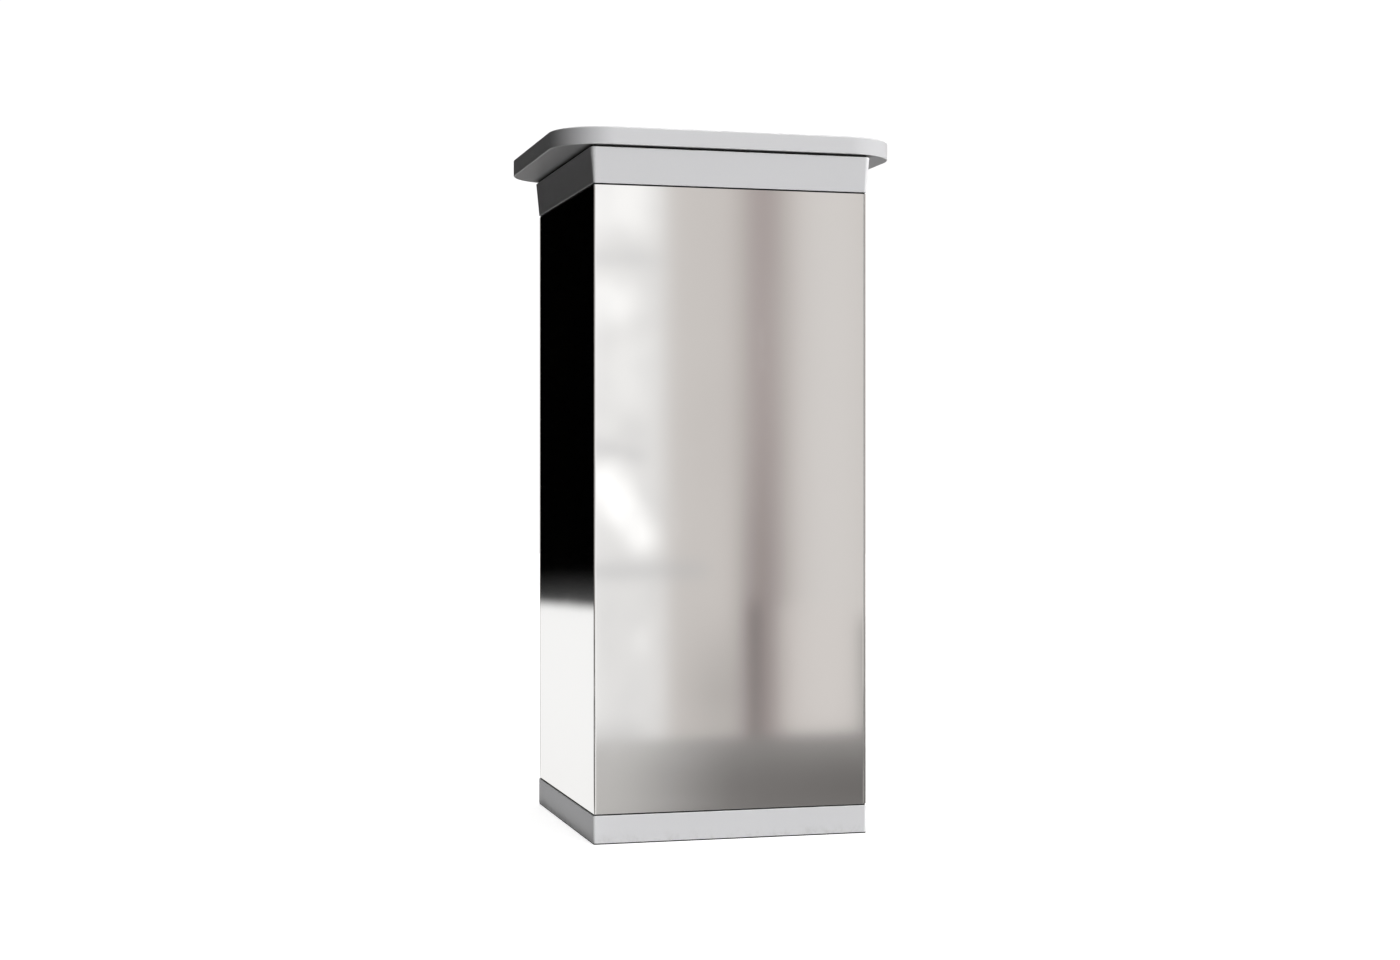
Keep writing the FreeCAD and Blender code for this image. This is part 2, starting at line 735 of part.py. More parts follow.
def shell_fixings():
    """Rivet nuts in the carriers' flanges, and the screws that hold the shells on them."""
    bore = SMALL.shank / 2
    rivet = turned("rivet_nut", [
        (bore, -d.rivet_depth), (d.rivet_barrel / 2, -d.rivet_depth), (d.rivet_barrel / 2, 0),
        (d.rivet_head / 2, 0), (d.rivet_head / 2, d.shell_gauge), (bore, d.shell_gauge),
    ])
    fixing = screw("shell_screw", SMALL, d.shell_screw_length)
    nuts = []
    screws = []
    for carrier_name, level in CARRIER_LEVELS:
        z = level - d.screw_drop
        for column in SCREW_COLUMNS:
            nuts.append((return_inside, column, z, FACING_RIGHT))
            nuts.append((column, return_inside, z, FACING_BACK))
            screws.append((half, column, z, FACING_RIGHT))
            screws.append((column, half, z, FACING_BACK))
    return [group("rivet_nuts", rivet, nuts), group("shell_screws", fixing, screws)]


def carrier_fixings():
    """Bolts and nuts that hold the carriers on their cleats."""
    grip = d.carrier_gauge + d.cleat_gauge
    bolt = screw("carrier_bolt", LARGE, grip + LARGE.nut_rise + d.screw_end)
    bolts = []
    nuts = []
    for carrier_name, level in CARRIER_LEVELS:
        for side in (-1, 1):
            x = (post_half + d.cleat_bolt_inset) * side
            bolts.append((x, 0, level, UPRIGHT))
            nuts.append((x, 0, level - grip, UPRIGHT))
    return [
        group("carrier_bolts", bolt, bolts),
        group("carrier_nuts", nut("carrier_nut", LARGE), nuts),
    ]


# ---------------------------------------------------------------- collar and cap

def collar():
    """Flared band with a foot flange over the sleeve and a lip flange under the gasket."""
    body = new_body("collar", collar_bottom)
    foot = new_sketch(body, "foot")
    foot_half = half + d.collar_foot_proud
    rectangle(foot, foot_half, foot_half, d.bend_radius + d.collar_foot_proud)
    lip = new_sketch(body, "lip", offset=d.collar_height)
    rectangle(lip, lip_half, lip_half, d.bend_radius + d.collar_lip_proud)
    flare = body.newObject("PartDesign::AdditiveLoft", "collar_flare")
    flare.Profile = foot
    flare.Sections = [lip]
    flare.Ruled = True
    round_edges(body, flare, (0, d.collar_height.number), d.edge_break)
    cavity = new_sketch(body, "cavity", offset=d.collar_flange)
    wall = foot_half - d.collar_wall
    rectangle(cavity, wall, wall)
    pocket(body, cavity, d.collar_height - d.collar_flange * 2)
    foot_opening = new_sketch(body, "foot_opening")
    opening = half - d.foot_flange_width
    rectangle(foot_opening, opening, opening)
    pocket(body, foot_opening, d.collar_flange)
    lip_opening = new_sketch(body, "lip_opening", offset=d.collar_height)
    opening = half - d.lip_flange_width
    rectangle(lip_opening, opening, opening)
    pocket(body, lip_opening, d.collar_flange, along_normal=False)
    holes = new_sketch(body, "screw_hole")
    for side in (-1, 1):
        circle(holes, collar_screw_line, d.collar_screw_offset * side, clearance(MEDIUM))
    four_times(body, pocket(body, holes, d.collar_flange))
    return body


def collar_fixings():
    """Screws from inside the collar into nuts under the upper carrier's web."""
    grip = d.collar_flange + d.seal_thickness + d.carrier_gauge
    fixing = screw("collar_screw", MEDIUM, grip + MEDIUM.nut_rise)
    screws = []
    nuts = []
    for side in (-1, 1):
        offset = d.collar_screw_offset * side
        screws += quarter_places(collar_screw_line, offset, collar_bottom + d.collar_flange)
        nuts += quarter_places(collar_screw_line, offset, shell_top - d.carrier_gauge)
    return [
        group("collar_screws", fixing, screws),
        group("collar_nuts", nut("collar_nut", MEDIUM), nuts),
    ]


def cap_gasket():
    outer = lip_half - d.gasket_recess
    inner = half - d.lip_flange_width
    return ring("cap_gasket", outer, inner, d.gasket_thickness, collar_top,
                d.bend_radius + d.collar_lip_proud - d.gasket_recess, d.bend_radius)


def cap_plate():
    """Thick plate, wider to the left and right, with four counterbored screw holes."""
    body = new_body("cap_plate", plate_bottom)
    plan = new_sketch(body, "plan")
    rectangle(plan, half + d.side_overhang, half + d.front_overhang, d.plate_corner)
    block = pad(body, plan, d.plate_thickness)
    round_edges(body, block, (0, d.plate_thickness.number), d.plate_edge)
    shanks = new_sketch(body, "shank_hole")
    circle(shanks, cap_screw_offset, cap_screw_offset, clearance(CAP))
    four_times(body, pocket(body, shanks))
    recess = new_sketch(body, "recess", offset=d.plate_thickness)
    circle(recess, cap_screw_offset, cap_screw_offset, d.counterbore)
    four_times(body, pocket(body, recess, d.cap_recess, along_normal=False))
    return body


def cap_fixings():
    """Spacers on the head plate, the screws through them, and the plugs over the screws."""
    seat = d.plate_thickness - d.cap_recess
    bore = clearance(CAP) / 2
    spacer = turned("cap_spacer", [
        (bore, 0), (d.spacer_width / 2, 0), (d.spacer_width / 2, d.spacer_length),
        (bore, d.spacer_length),
    ])
    fixing = screw("cap_screw", CAP, seat + d.spacer_length + d.head_thickness + d.screw_end)
    plug = turned("cap_plug", [
        (0, 0), (d.counterbore / 2, 0), (d.counterbore / 2, d.plug_thickness),
        (0, d.plug_thickness),
    ])
    corner = cap_screw_offset
    return [
        group("cap_spacers", spacer, quarter_places(corner, corner, head_top)),
        group("cap_screws", fixing, quarter_places(corner, corner, plate_bottom + seat)),
        group("cap_plugs", plug,
              quarter_places(corner, corner, d.total_height - d.plug_thickness)),
    ]


# ---------------------------------------------------------------- assembly

def build():
    """Every sub-part of the bollard, from the floor up."""
    pieces = [base_plate(), core_post(), head_plate()]
    pieces += [gusset(side, angle) for side, angle in QUARTER_TURNS]
    pieces += [skirt_bracket(side, angle) for side, angle in QUARTER_TURNS]
    ledge_screw = screw("skirt_screw", SMALL, d.ledge_thickness + d.bracket_gauge)
    foot_screw = screw("bracket_screw", MEDIUM, d.base_thickness)
    foot_level = d.base_thickness + d.bracket_gauge
    pieces += [
        group("bracket_screws", foot_screw,
              quarter_places(bracket_screw_line, d.bracket_offset, foot_level)),
        group("skirt_screws", ledge_screw,
              quarter_places(skirt_screw_line, d.bracket_offset, d.skirt_height)),
        bedding_seal(), base_skirt(),
        end_seal("lower_seal", d.skirt_height), end_seal("upper_seal", shell_top),
        front_shell(), rear_shell(),
    ]
    for name, level in CARRIER_LEVELS:
        pieces.append(carrier(name, level))
        pieces += [cleat(name, level, side, angle)
                   for side, angle in QUARTER_TURNS if side in ("left", "right")]
    pieces += shell_fixings() + carrier_fixings()
    pieces += [collar(), cap_gasket(), cap_plate()] + collar_fixings() + cap_fixings()
    return pieces


def check(pieces):
    """Stop if a feature failed, a cut removed nothing, or a sub-part isn't a sound solid."""
    for thing in doc.Objects:
        if "Invalid" in thing.State or "Error" in thing.State:
            raise RuntimeError(f"{thing.Name} failed: {thing.State}")
        if thing.TypeId in ("PartDesign::Pocket", "PartDesign::PolarPattern"):
            if thing.BaseFeature.Shape.Volume - thing.Shape.Volume < SMALLEST_CUT:
                raise RuntimeError(f"{thing.Name} removes nothing")
    for piece in pieces:
        if piece.Shape.isNull() or not piece.Shape.isValid():
            raise RuntimeError(f"{piece.Label} has no sound shape")


sub_parts = build()
doc.recompute()
check(sub_parts)
os.makedirs("parts", exist_ok=True)
for piece in sub_parts:
    piece.Shape.exportStep(f"parts/{piece.Label}.step")
print(len(sub_parts), "sub-parts written")
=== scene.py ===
"""Studio model of a clad steel safety bollard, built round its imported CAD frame.

Every length is in metres in the frame's own axes: +Z is up, the floor is z = 0 and the
front face looks along -Y.
"""

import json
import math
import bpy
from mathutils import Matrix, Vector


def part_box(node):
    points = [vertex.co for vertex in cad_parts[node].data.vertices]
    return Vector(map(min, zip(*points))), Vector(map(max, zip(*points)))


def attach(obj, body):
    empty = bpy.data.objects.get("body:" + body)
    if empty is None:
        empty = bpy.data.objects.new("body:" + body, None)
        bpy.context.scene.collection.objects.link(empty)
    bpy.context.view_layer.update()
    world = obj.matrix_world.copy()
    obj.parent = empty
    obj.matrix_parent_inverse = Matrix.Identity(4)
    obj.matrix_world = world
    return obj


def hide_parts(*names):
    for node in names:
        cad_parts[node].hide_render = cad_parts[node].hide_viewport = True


bl_info = {
    "name": "Clad Safety Bollard",
    "version": (1, 0, 0),
    "blender": (4, 5, 0),
    "location": "3D View > Sidebar > Bollard",
    "description": "Builds the mirror sleeve, coated trim, seals and studio of a safety bollard",
    "category": "Object",
}

import bmesh
import bpy
from bpy.props import FloatProperty, FloatVectorProperty, PointerProperty
from mathutils import Matrix, Vector

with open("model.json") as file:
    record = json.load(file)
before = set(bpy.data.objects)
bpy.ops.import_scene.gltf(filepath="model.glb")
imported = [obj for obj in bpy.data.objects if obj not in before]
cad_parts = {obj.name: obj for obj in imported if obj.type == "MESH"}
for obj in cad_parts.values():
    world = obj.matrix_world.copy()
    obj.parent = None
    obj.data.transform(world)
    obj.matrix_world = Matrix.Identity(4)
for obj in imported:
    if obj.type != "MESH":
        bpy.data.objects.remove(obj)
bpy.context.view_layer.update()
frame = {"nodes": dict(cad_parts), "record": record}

BODY = "root"
QUARTER = math.pi / 2
MM = 0.001
# The coat lightens along marked edges: partly worn coat and partly a painted highlight.
WEAR_AND_HIGHLIGHT = "edge_wear_and_highlight"
CORNER_WEAR_AND_HIGHLIGHT = 0.85
EDGE_STEPS = 5
CORNER_STEPS = 12
PLATE_CORNER_STEPS = 32
ROUND_STEPS = 48


# ---------------------------------------------------------------- settings

def length(name, description, default):
    """A length that a user may change."""
    return FloatProperty(name=name, description=description, default=default,
                         unit="LENGTH", subtype="DISTANCE", min=0, precision=5)


def share(name, description, default):
    """A share between none and all."""
    return FloatProperty(name=name, description=description, default=default,
                         subtype="FACTOR", min=0, max=1, precision=3)


def strength(name, description, default):
    """How much light a lamp or card gives."""
    return FloatProperty(name=name, description=description, default=default, min=0)


def angle(name, description, degrees):
    """An angle, given here in degrees and shown in the scene's unit."""
    return FloatProperty(name=name, description=description, default=math.radians(degrees),
                         unit="ROTATION", subtype="ANGLE")


def colour(name, description, default):
    """A surface colour."""
    return FloatVectorProperty(name=name, description=description, default=default,
                               subtype="COLOR", size=3, min=0, max=1)


class SleeveSettings(bpy.types.PropertyGroup):
    """The two folded mirror shells."""

    gauge: length("Sheet", "Thickness of the mirror sheet", 2 * MM)
    bend: length("Bend", "Outside radius of a fold", 3 * MM)
    return_width: length("Return", "Folded edge behind the neighbouring shell", 30 * MM)
    edge: length("Edge", "Rounding of the cut edges", 0.25 * MM)
    steel: colour("Steel", "Colour of the polished sheet", (0.93, 0.922, 0.915))
    polish: share("Polish", "Roughness where the polish is best", 0.052)


class TrimSettings(bpy.types.PropertyGroup):
    """Base skirt, collar and cap plate."""

    wall: length("Wall", "Wall of the skirt and the collar", 5 * MM)
    flange: length("Flange", "Level flanges of the skirt and the collar", 6 * MM)
    edge: length("Edge", "Rounding of the skirt's and collar's edges", 0.8 * MM)
    foot_half: length("Collar foot", "Half width of the collar's lower edge", 201.2 * MM)
    rib_half: length("Rib", "Half width of the rib that keeps the sleeve in place", 195.5 * MM)
    rib_wall: length("Rib wall", "Thickness of the locating rib", 3 * MM)
    skirt_top: length("Skirt", "Top face of the skirt", 40 * MM)
    plate_corner: length("Plate corner", "Corner radius of the cap plate", 78 * MM)
    plate_edge: length("Plate edge", "Rounding of the cap plate's edges", 2 * MM)
    plug_offset: length("Plugs", "Plugs from the middle of the cap plate", 70 * MM)
    plug_hole: length("Plug hole", "Diameter of a counterbore in the cap plate", 26 * MM)
    plug_hole_depth: length("Plug hole depth", "Depth of a counterbore", 17 * MM)
    coat: colour("Coat", "Colour of the grey powder coat", (0.6, 0.6, 0.612))
    gloss: share("Coat roughness", "Roughness of the powder coat", 0.5)


class FixingSettings(bpy.types.PropertyGroup):
    """Seals and the screws that can be seen."""

    bead: length("Bead", "How far a pressed seal bulges", 0.3 * MM)
    head: length("Head", "Diameter of a shell screw's head", 9.5 * MM)
    rise: length("Rise", "Height of a shell screw's head", 2.7 * MM)
    key: length("Key", "Hexagon socket across flats", 3 * MM)
    seam_inset: length("Seam inset", "Screws at a seam to the neighbouring face", 18 * MM)
    far_inset: length("Fold inset", "Screws at the fold to the neighbouring face", 60 * MM)
    lower_row: length("Lower row", "Level of the lowest screws", 145 * MM)
    middle_row: length("Middle row", "Level of the middle screws", 525 * MM)
    upper_row: length("Upper row", "Level of the top screws", 905 * MM)
    rubber: colour("Rubber", "Colour of the seals", (0.009, 0.009, 0.0095))
    zinc: colour("Zinc", "Colour of galvanised steel", (0.56, 0.57, 0.58))


class StudioSettings(bpy.types.PropertyGroup):
    """Camera, floor and light."""

    camera_x: FloatProperty(name="Camera X", description="Camera, left to right",
                            default=-0.847, unit="LENGTH", subtype="DISTANCE")
    camera_y: FloatProperty(name="Camera Y", description="Camera, front to back",
                            default=-3.166, unit="LENGTH", subtype="DISTANCE")
    camera_z: length("Camera height", "Camera above the floor", 0.508)
    camera_turn: angle("Camera turn", "Turn of the camera about the vertical", -15.09)
    lens: FloatProperty(name="Lens", description="Focal length on a 36 mm sensor",
                        default=56, min=1, unit="CAMERA")
    floor: colour("Floor", "Colour of the pale floor", (0.93, 0.93, 0.93))
    floor_glow: strength("Floor glow", "Light that the floor itself gives", 0.68)
    room: strength("Room", "Light from the room round the object", 1.0)
    overhead: strength("Overhead", "Soft light from above", 0.55)
    bounce: strength("Bounce", "Light that the floor sends up the left side, in watts", 0.3)


SETTINGS = {
    "bollard_sleeve": SleeveSettings,
    "bollard_trim": TrimSettings,
    "bollard_fixings": FixingSettings,
    "bollard_studio": StudioSettings,
}


# ---------------------------------------------------------------- shader maths

class Signal:
    """One output of a finish's nodes, which can stand in an expression."""

    def __init__(self, recipe, socket):
        self.recipe = recipe
        self.socket = socket

    def maths(self, operation, *operands):
        return self.recipe.node("ShaderNodeMath", {"operation": operation},
                                dict(enumerate(operands)))

    def __add__(self, other):
        return self.maths("ADD", self, other)

    def __radd__(self, other):
        return self.maths("ADD", other, self)

    def __sub__(self, other):
        return self.maths("SUBTRACT", self, other)

    def __rsub__(self, other):
        return self.maths("SUBTRACT", other, self)

    def __mul__(self, other):
        return self.maths("MULTIPLY", self, other)

    def __rmul__(self, other):
        return self.maths("MULTIPLY", other, self)

    def __pow__(self, other):
        return self.maths("POWER", self, other)

    def __rpow__(self, other):
        return self.maths("POWER", other, self)

    def __abs__(self):
        return self.maths("ABSOLUTE", self)

    def above(self, floor):
        """The larger of the signal and a number."""
        return self.maths("MAXIMUM", self, floor)


class Recipe:
    """The nodes of one finish."""

    def __init__(self, owner):
        owner.use_nodes = True
        self.tree = owner.node_tree
        self.tree.nodes.clear()

    def node(self, kind, settings=None, sockets=None, output=0):
        """Adds a node: its settings first, then the values or links of its sockets."""
        made = self.tree.nodes.new(kind)
        for name, value in (settings or {}).items():
            setattr(made, name, value)
        for key, value in (sockets or {}).items():
            if isinstance(value, Signal):
                self.tree.links.new(value.socket, made.inputs[key])
            else:
                made.inputs[key].default_value = value
        if not made.outputs:
            return None
        return Signal(self, made.outputs[output])

    def place(self):
        """The point on the surface, in the frame's metres."""
        return self.node("ShaderNodeTexCoord", output="Object")

    def axes(self, vector):
        """The three numbers of a vector."""
        first = self.node("ShaderNodeSeparateXYZ", sockets={0: vector})
        return [Signal(self, output) for output in first.socket.node.outputs]

    def stretch(self, vector, scale):
        """A vector with each axis scaled on its own."""
        return self.node("ShaderNodeVectorMath", {"operation": "MULTIPLY"},
                         {0: vector, 1: scale})

    def noise(self, vector, scale, detail=2, roughness=0.5):
        """Soft noise between 0 and 1."""
        return self.node("ShaderNodeTexNoise", {"noise_dimensions": "3D"},
                         {"Vector": vector, "Scale": scale, "Detail": detail,
                          "Roughness": roughness})

    def cells(self, vector, scale, output="Distance"):
        """Distance to the nearest cell's point, or the cell's own colour."""
        return self.node("ShaderNodeTexVoronoi", {"feature": "F1"},
                         {"Vector": vector, "Scale": scale}, output)

    def fade(self, value, start, stop, low=0.0, high=1.0):
        """A smooth step from low at start to high at stop."""
        return self.node("ShaderNodeMapRange", {"interpolation_type": "SMOOTHSTEP"},
                         {"Value": value, "From Min": start, "From Max": stop,
                          "To Min": low, "To Max": high})

    def blend(self, mask, first, second):
        """The first colour where the mask is 0 and the second where it is 1."""
        return self.node("ShaderNodeMix", {"data_type": "RGBA"},
                         {0: mask, 6: tint(first), 7: tint(second)}, 2)

    def relief(self, height, depth, below=None):
        """A normal bent by a height in metres, on top of another normal if one is given."""
        sockets = {"Height": height, "Distance": depth, "Strength": 1.0}
        if below is not None:
            sockets["Normal"] = below
        return self.node("ShaderNodeBump", sockets=sockets)

    def surface(self, **sockets):
        """The shader that ends a finish, with its sockets by name."""
        named = {key.replace("_", " "): value for key, value in sockets.items()}
        shader = self.node("ShaderNodeBsdfPrincipled", sockets=named)
        self.node("ShaderNodeOutputMaterial", sockets={"Surface": shader})

    def glow(self, shade, level):
        """A shader that only gives light."""
        shader = self.node("ShaderNodeEmission", sockets={"Color": shade, "Strength": level})
        self.node("ShaderNodeOutputMaterial", sockets={"Surface": shader})


def tint(shade):
    """A colour for a socket: a link stays as it is, and three numbers get their alpha."""
    if isinstance(shade, Signal):
        return shade
    return (*shade, 1)


def scaled(shade, factor):
    """A colour made lighter or darker."""
    return tuple(min(part * factor, 1) for part in shade)


def new_finish(name):
    """A new material and the recipe that writes its nodes."""
    material = bpy.data.materials.new(name)
    return material, Recipe(material)


# ---------------------------------------------------------------- finishes

def polished_steel(settings):
    """Mirror sheet: a faint haze, hairlines along the sheet, wipe marks and a dusty foot."""
    material, mix = new_finish("polished_steel")
    place = mix.place()
    level = mix.axes(place)[2]
    haze = mix.noise(place, 4.5, 4)
    wipes = mix.fade(mix.noise(mix.stretch(place, (9, 9, 3)), 2.2, 5, 0.62), 0.55, 0.8)
    hairline = mix.noise(mix.stretch(place, (1700, 1700, 14)), 1, 2)
    specks = mix.fade(mix.cells(place, 95), 0.09, 0.03)
    foot = mix.fade(level, 0.19, 0.042) * haze
    steel = tuple(settings.steel)
    shade = mix.blend(haze, scaled(steel, 0.985), steel)
    shade = mix.blend(foot * 0.35, shade, (0.78, 0.76, 0.73))
    shade = mix.blend(specks * wipes * 0.3, shade, (0.7, 0.69, 0.67))
    rough = settings.polish + haze * 0.018 + wipes * 0.022 + foot * 0.04 + specks * wipes * 0.1
    sheet_wave = mix.relief(mix.noise(mix.stretch(place, (1, 1, 0.45)), 5, 1), 0.00018)
    grain = mix.relief(hairline, 0.0000016, sheet_wave)
    mix.surface(Base_Color=shade, Metallic=1.0, Roughness=rough, Normal=grain)
    return material


def powder_coat(settings):
    """Satin grey coat: orange peel, fleck, dust, a scuffed foot, worn edges lightened partly as a
    painted highlight, and painted shade by the gasket.
    """
    material, mix = new_finish("powder_coat")
    place = mix.place()
    across, away, level = mix.axes(place)
    cloud = mix.noise(place, 7, 3)
    fleck = mix.fade(mix.cells(place, 900), 0.32, 0.12)
    peel = mix.noise(place, 620, 2)
    pores = mix.noise(place, 2400, 1)
    facing = mix.node("ShaderNodeNewGeometry", output="Normal")
    upward = mix.fade(mix.axes(facing)[2], 0.6, 0.98)
    dust = upward * mix.fade(mix.noise(place, 26, 6, 0.65), 0.42, 0.75)
    scuff = mix.fade(level, 0.02, 0.001) * mix.fade(mix.noise(place, 60, 4, 0.7), 0.45, 0.7)
    # Painted shade: the coat is darkened under the cap plate next to the gasket, where the gap
    # lies in shadow.
    off_middle = abs(across).above(abs(away))
    gasket_edge = half_widths("cap_gasket")[0]
    off_seam = abs(level - levels("cap_plate")[0])
    painted_gasket_shade = mix.fade(off_middle, gasket_edge + 15 * MM, gasket_edge + 2 * MM)
    painted_gasket_shade = painted_gasket_shade * mix.fade(off_seam, 1.2 * MM, 0.6 * MM)
    # Edges where the coat is worn, also lightened as a painted highlight.
    worn_and_highlit = mix.node("ShaderNodeAttribute", {"attribute_name": WEAR_AND_HIGHLIGHT}, output="Fac")
    worn_and_highlit = worn_and_highlit * mix.fade(mix.noise(place, 75, 4), 0.2, 0.5, 0.45)
    coat = tuple(settings.coat)
    shade = mix.blend(cloud, scaled(coat, 0.975), scaled(coat, 1.02))
    shade = mix.blend(fleck * 0.25, shade, scaled(coat, 1.22))
    shade = mix.blend(dust * 0.16, shade, (0.72, 0.7, 0.66))
    shade = mix.blend(scuff * 0.3, shade, (0.36, 0.35, 0.33))
    # Painted shade next to the gasket.
    shade = mix.blend(painted_gasket_shade * 0.9, shade, (0.03, 0.029, 0.028))
    # Worn edges made lighter: partly wear and partly a painted highlight.
    shade = mix.blend(worn_and_highlit * 0.8, shade, (0.93, 0.93, 0.94))
    rough = settings.gloss + cloud * 0.05 + dust * 0.2 + scuff * 0.12 - fleck * 0.08
    rough = rough - worn_and_highlit * 0.24
    skin = mix.relief(pores, 0.000012, mix.relief(peel, 0.00005))
    mix.surface(Base_Color=shade, Roughness=rough, Normal=skin, IOR=1.42)
    return material


def black_rubber(settings):
    """Moulded rubber: matt black with a dusty bloom and a fine tooth."""
    material, mix = new_finish("black_rubber")
    place = mix.place()
    bloom = mix.fade(mix.noise(place, 34, 5, 0.6), 0.4, 0.72)
    tooth = mix.noise(place, 1500, 3)
    rubber = tuple(settings.rubber)
    shade = mix.blend(bloom * 0.4, rubber, (0.035, 0.034, 0.032))
    mix.surface(Base_Color=shade, Roughness=0.68 + bloom * 0.16, Specular_IOR_Level=0.2,
                Normal=mix.relief(tooth, 0.00006))
    return material


def galvanised_steel(settings):
    """Hot-dipped zinc: large crystals, dull patches and a rippled skin."""
    material, mix = new_finish("galvanised_steel")
    place = mix.place()
    wander = mix.noise(place, 40, 2)
    spread = mix.node("ShaderNodeVectorMath", {"operation": "ADD"},
                      {0: place, 1: mix.node("ShaderNodeVectorMath", {"operation": "SCALE"},
                                             {0: wander, "Scale": 0.01})})
    crystal = mix.axes(mix.cells(spread, 120, "Color"))[0]
    dull = mix.fade(mix.noise(place, 11, 4), 0.45, 0.7)
    zinc = tuple(settings.zinc)
    shade = mix.blend(crystal, scaled(zinc, 0.86), scaled(zinc, 1.12))
    shade = mix.blend(dull * 0.5, shade, (0.47, 0.47, 0.46))
    rough = 0.36 + crystal * 0.14 + dull * 0.2
    ripple = mix.relief(mix.noise(place, 170, 3), 0.00012)
    mix.surface(Base_Color=shade, Metallic=0.92, Roughness=rough, Normal=ripple)
    return material


def fastener_metal(name, metal, base_roughness):
    """Screws and nuts: turned grooves and a little staining."""
    material, mix = new_finish(name)
    place = mix.place()
    stain = mix.fade(mix.noise(place, 130, 4, 0.6), 0.5, 0.75)
    turned = mix.noise(place, 3600, 2)
    shade = mix.blend(stain * 0.6, metal, scaled(metal, 0.74))
    mix.surface(Base_Color=shade, Metallic=1.0,
                Roughness=base_roughness + stain * 0.15 + turned * 0.06,
                Normal=mix.relief(turned, 0.000012))
    return material


def plug_plastic(settings):
    """Moulded plugs in the coat's grey, with a spark-eroded grain."""
    material, mix = new_finish("plug_plastic")
    place = mix.place()
    grain = mix.noise(place, 1900, 3, 0.6)
    cloud = mix.noise(place, 45, 3)
    coat = tuple(settings.coat)
    shade = mix.blend(cloud, scaled(coat, 0.8), scaled(coat, 0.9))
    mix.surface(Base_Color=shade, Roughness=0.58 + grain * 0.12,
                Normal=mix.relief(grain, 0.00004))
    return material


# ---------------------------------------------------------------- mesh helpers

def rounded_loop(half_x, half_y, corner, level, steps=CORNER_STEPS):
    """A rounded rectangle at one level, anticlockwise from above."""
    loop = []
    for quarter, (side_x, side_y) in enumerate(((1, 1), (-1, 1), (-1, -1), (1, -1))):
        middle_x = side_x * (half_x - corner)
        middle_y = side_y * (half_y - corner)
        for step in range(steps + 1):
            turn = (quarter + step / steps) * QUARTER
            loop.append((middle_x + corner * math.cos(turn),
                         middle_y + corner * math.sin(turn), level))
    return loop


def round_loop(radius, level, count=ROUND_STEPS):
    """A circle at one level, anticlockwise from above."""
    turns = [index * 4 * QUARTER / count for index in range(count)]
    return [(radius * math.cos(turn), radius * math.sin(turn), level) for turn in turns]


def hexagon_loop(across, level, count=ROUND_STEPS):
    """A hexagon with as many points as the circles that it joins."""
    loop = []
    for index in range(count):
        turn = index * 4 * QUARTER / count
        off_middle = (turn + math.pi / 6) % (math.pi / 3) - math.pi / 6
        reach = across / 2 / math.cos(off_middle)
        loop.append((reach * math.cos(turn), reach * math.sin(turn), level))
    return loop


def edge_arc(radius, steps, first, last):
    """How far a rounded edge is in, and up from its arc's centre, at each step."""
    turns = [first + (last - first) * step / steps for step in range(steps + 1)]
    return [(radius * (1 - math.cos(turn)), radius * math.sin(turn)) for turn in turns]


def wall_profile(low, high, foot, lip, edge, corner, corner_steps=CORNER_STEPS):
    """Loops up a wall with a rounded edge at each end; foot and lip are half widths."""
    loops = []
    for inward, up in edge_arc(edge, EDGE_STEPS, -QUARTER, 0):
        loops.append(rounded_loop(foot[0] - inward, foot[1] - inward,
                                  corner[0] - inward, low + edge + up, corner_steps))
    for inward, up in edge_arc(edge, EDGE_STEPS, 0, QUARTER):
        loops.append(rounded_loop(lip[0] - inward, lip[1] - inward,
                                  corner[1] - inward, high - edge + up, corner_steps))
    return loops


def add_skin(form, loops, tube=False, start=True, end=True, where=Matrix.Identity(4)):
    """Joins loops of equal length; a tube closes on itself, else the ends may be closed."""
    rows = [[form.verts.new(where @ Vector(point)) for point in loop] for loop in loops]
    pairs = list(zip(rows, rows[1:]))
    if tube:
        pairs.append((rows[-1], rows[0]))
    for lower, upper in pairs:
        for index in range(len(lower)):
            form.faces.new((lower[index - 1], lower[index], upper[index], upper[index - 1]))
    if start and not tube:
        form.faces.new(list(reversed(rows[0])))
    if end and not tube:
        form.faces.new(rows[-1])
    return rows


def ring_edges(form, ring):
    """The edges of a closed row of vertices."""
    return [form.edges.get((ring[index - 1], ring[index])) for index in range(len(ring))]


def coated_form():
    """An empty form whose vertices can say how thin the coat is worn, which the coat also
    lightens as a painted highlight.
    """
    form = bmesh.new()
    form.verts.layers.float.new(WEAR_AND_HIGHLIGHT)
    return form


def mark_wear_and_highlight(form, rows, corner_wear_and_highlight=0.0):
    """Marks both rounded edges of a wall, and its upright corners, for the coat to thin and to
    take a painted highlight.
    """
    layer = form.verts.layers.float[WEAR_AND_HIGHLIGHT]
    span = EDGE_STEPS + 1
    for index, row in enumerate(rows[:2 * span]):
        along = math.sin(math.pi * (index % span) / EDGE_STEPS)
        for spot, vert in enumerate(row):
            turned = spot % (CORNER_STEPS + 1) / CORNER_STEPS
            vert[layer] = max(vert[layer], along, corner_wear_and_highlight * math.sin(math.pi * turned))


def add_object(name, data):
    """Puts a mesh, lamp or camera into the scene under its own name."""
    made = bpy.data.objects.new(name, data)
    bpy.context.scene.collection.objects.link(made)
    return made


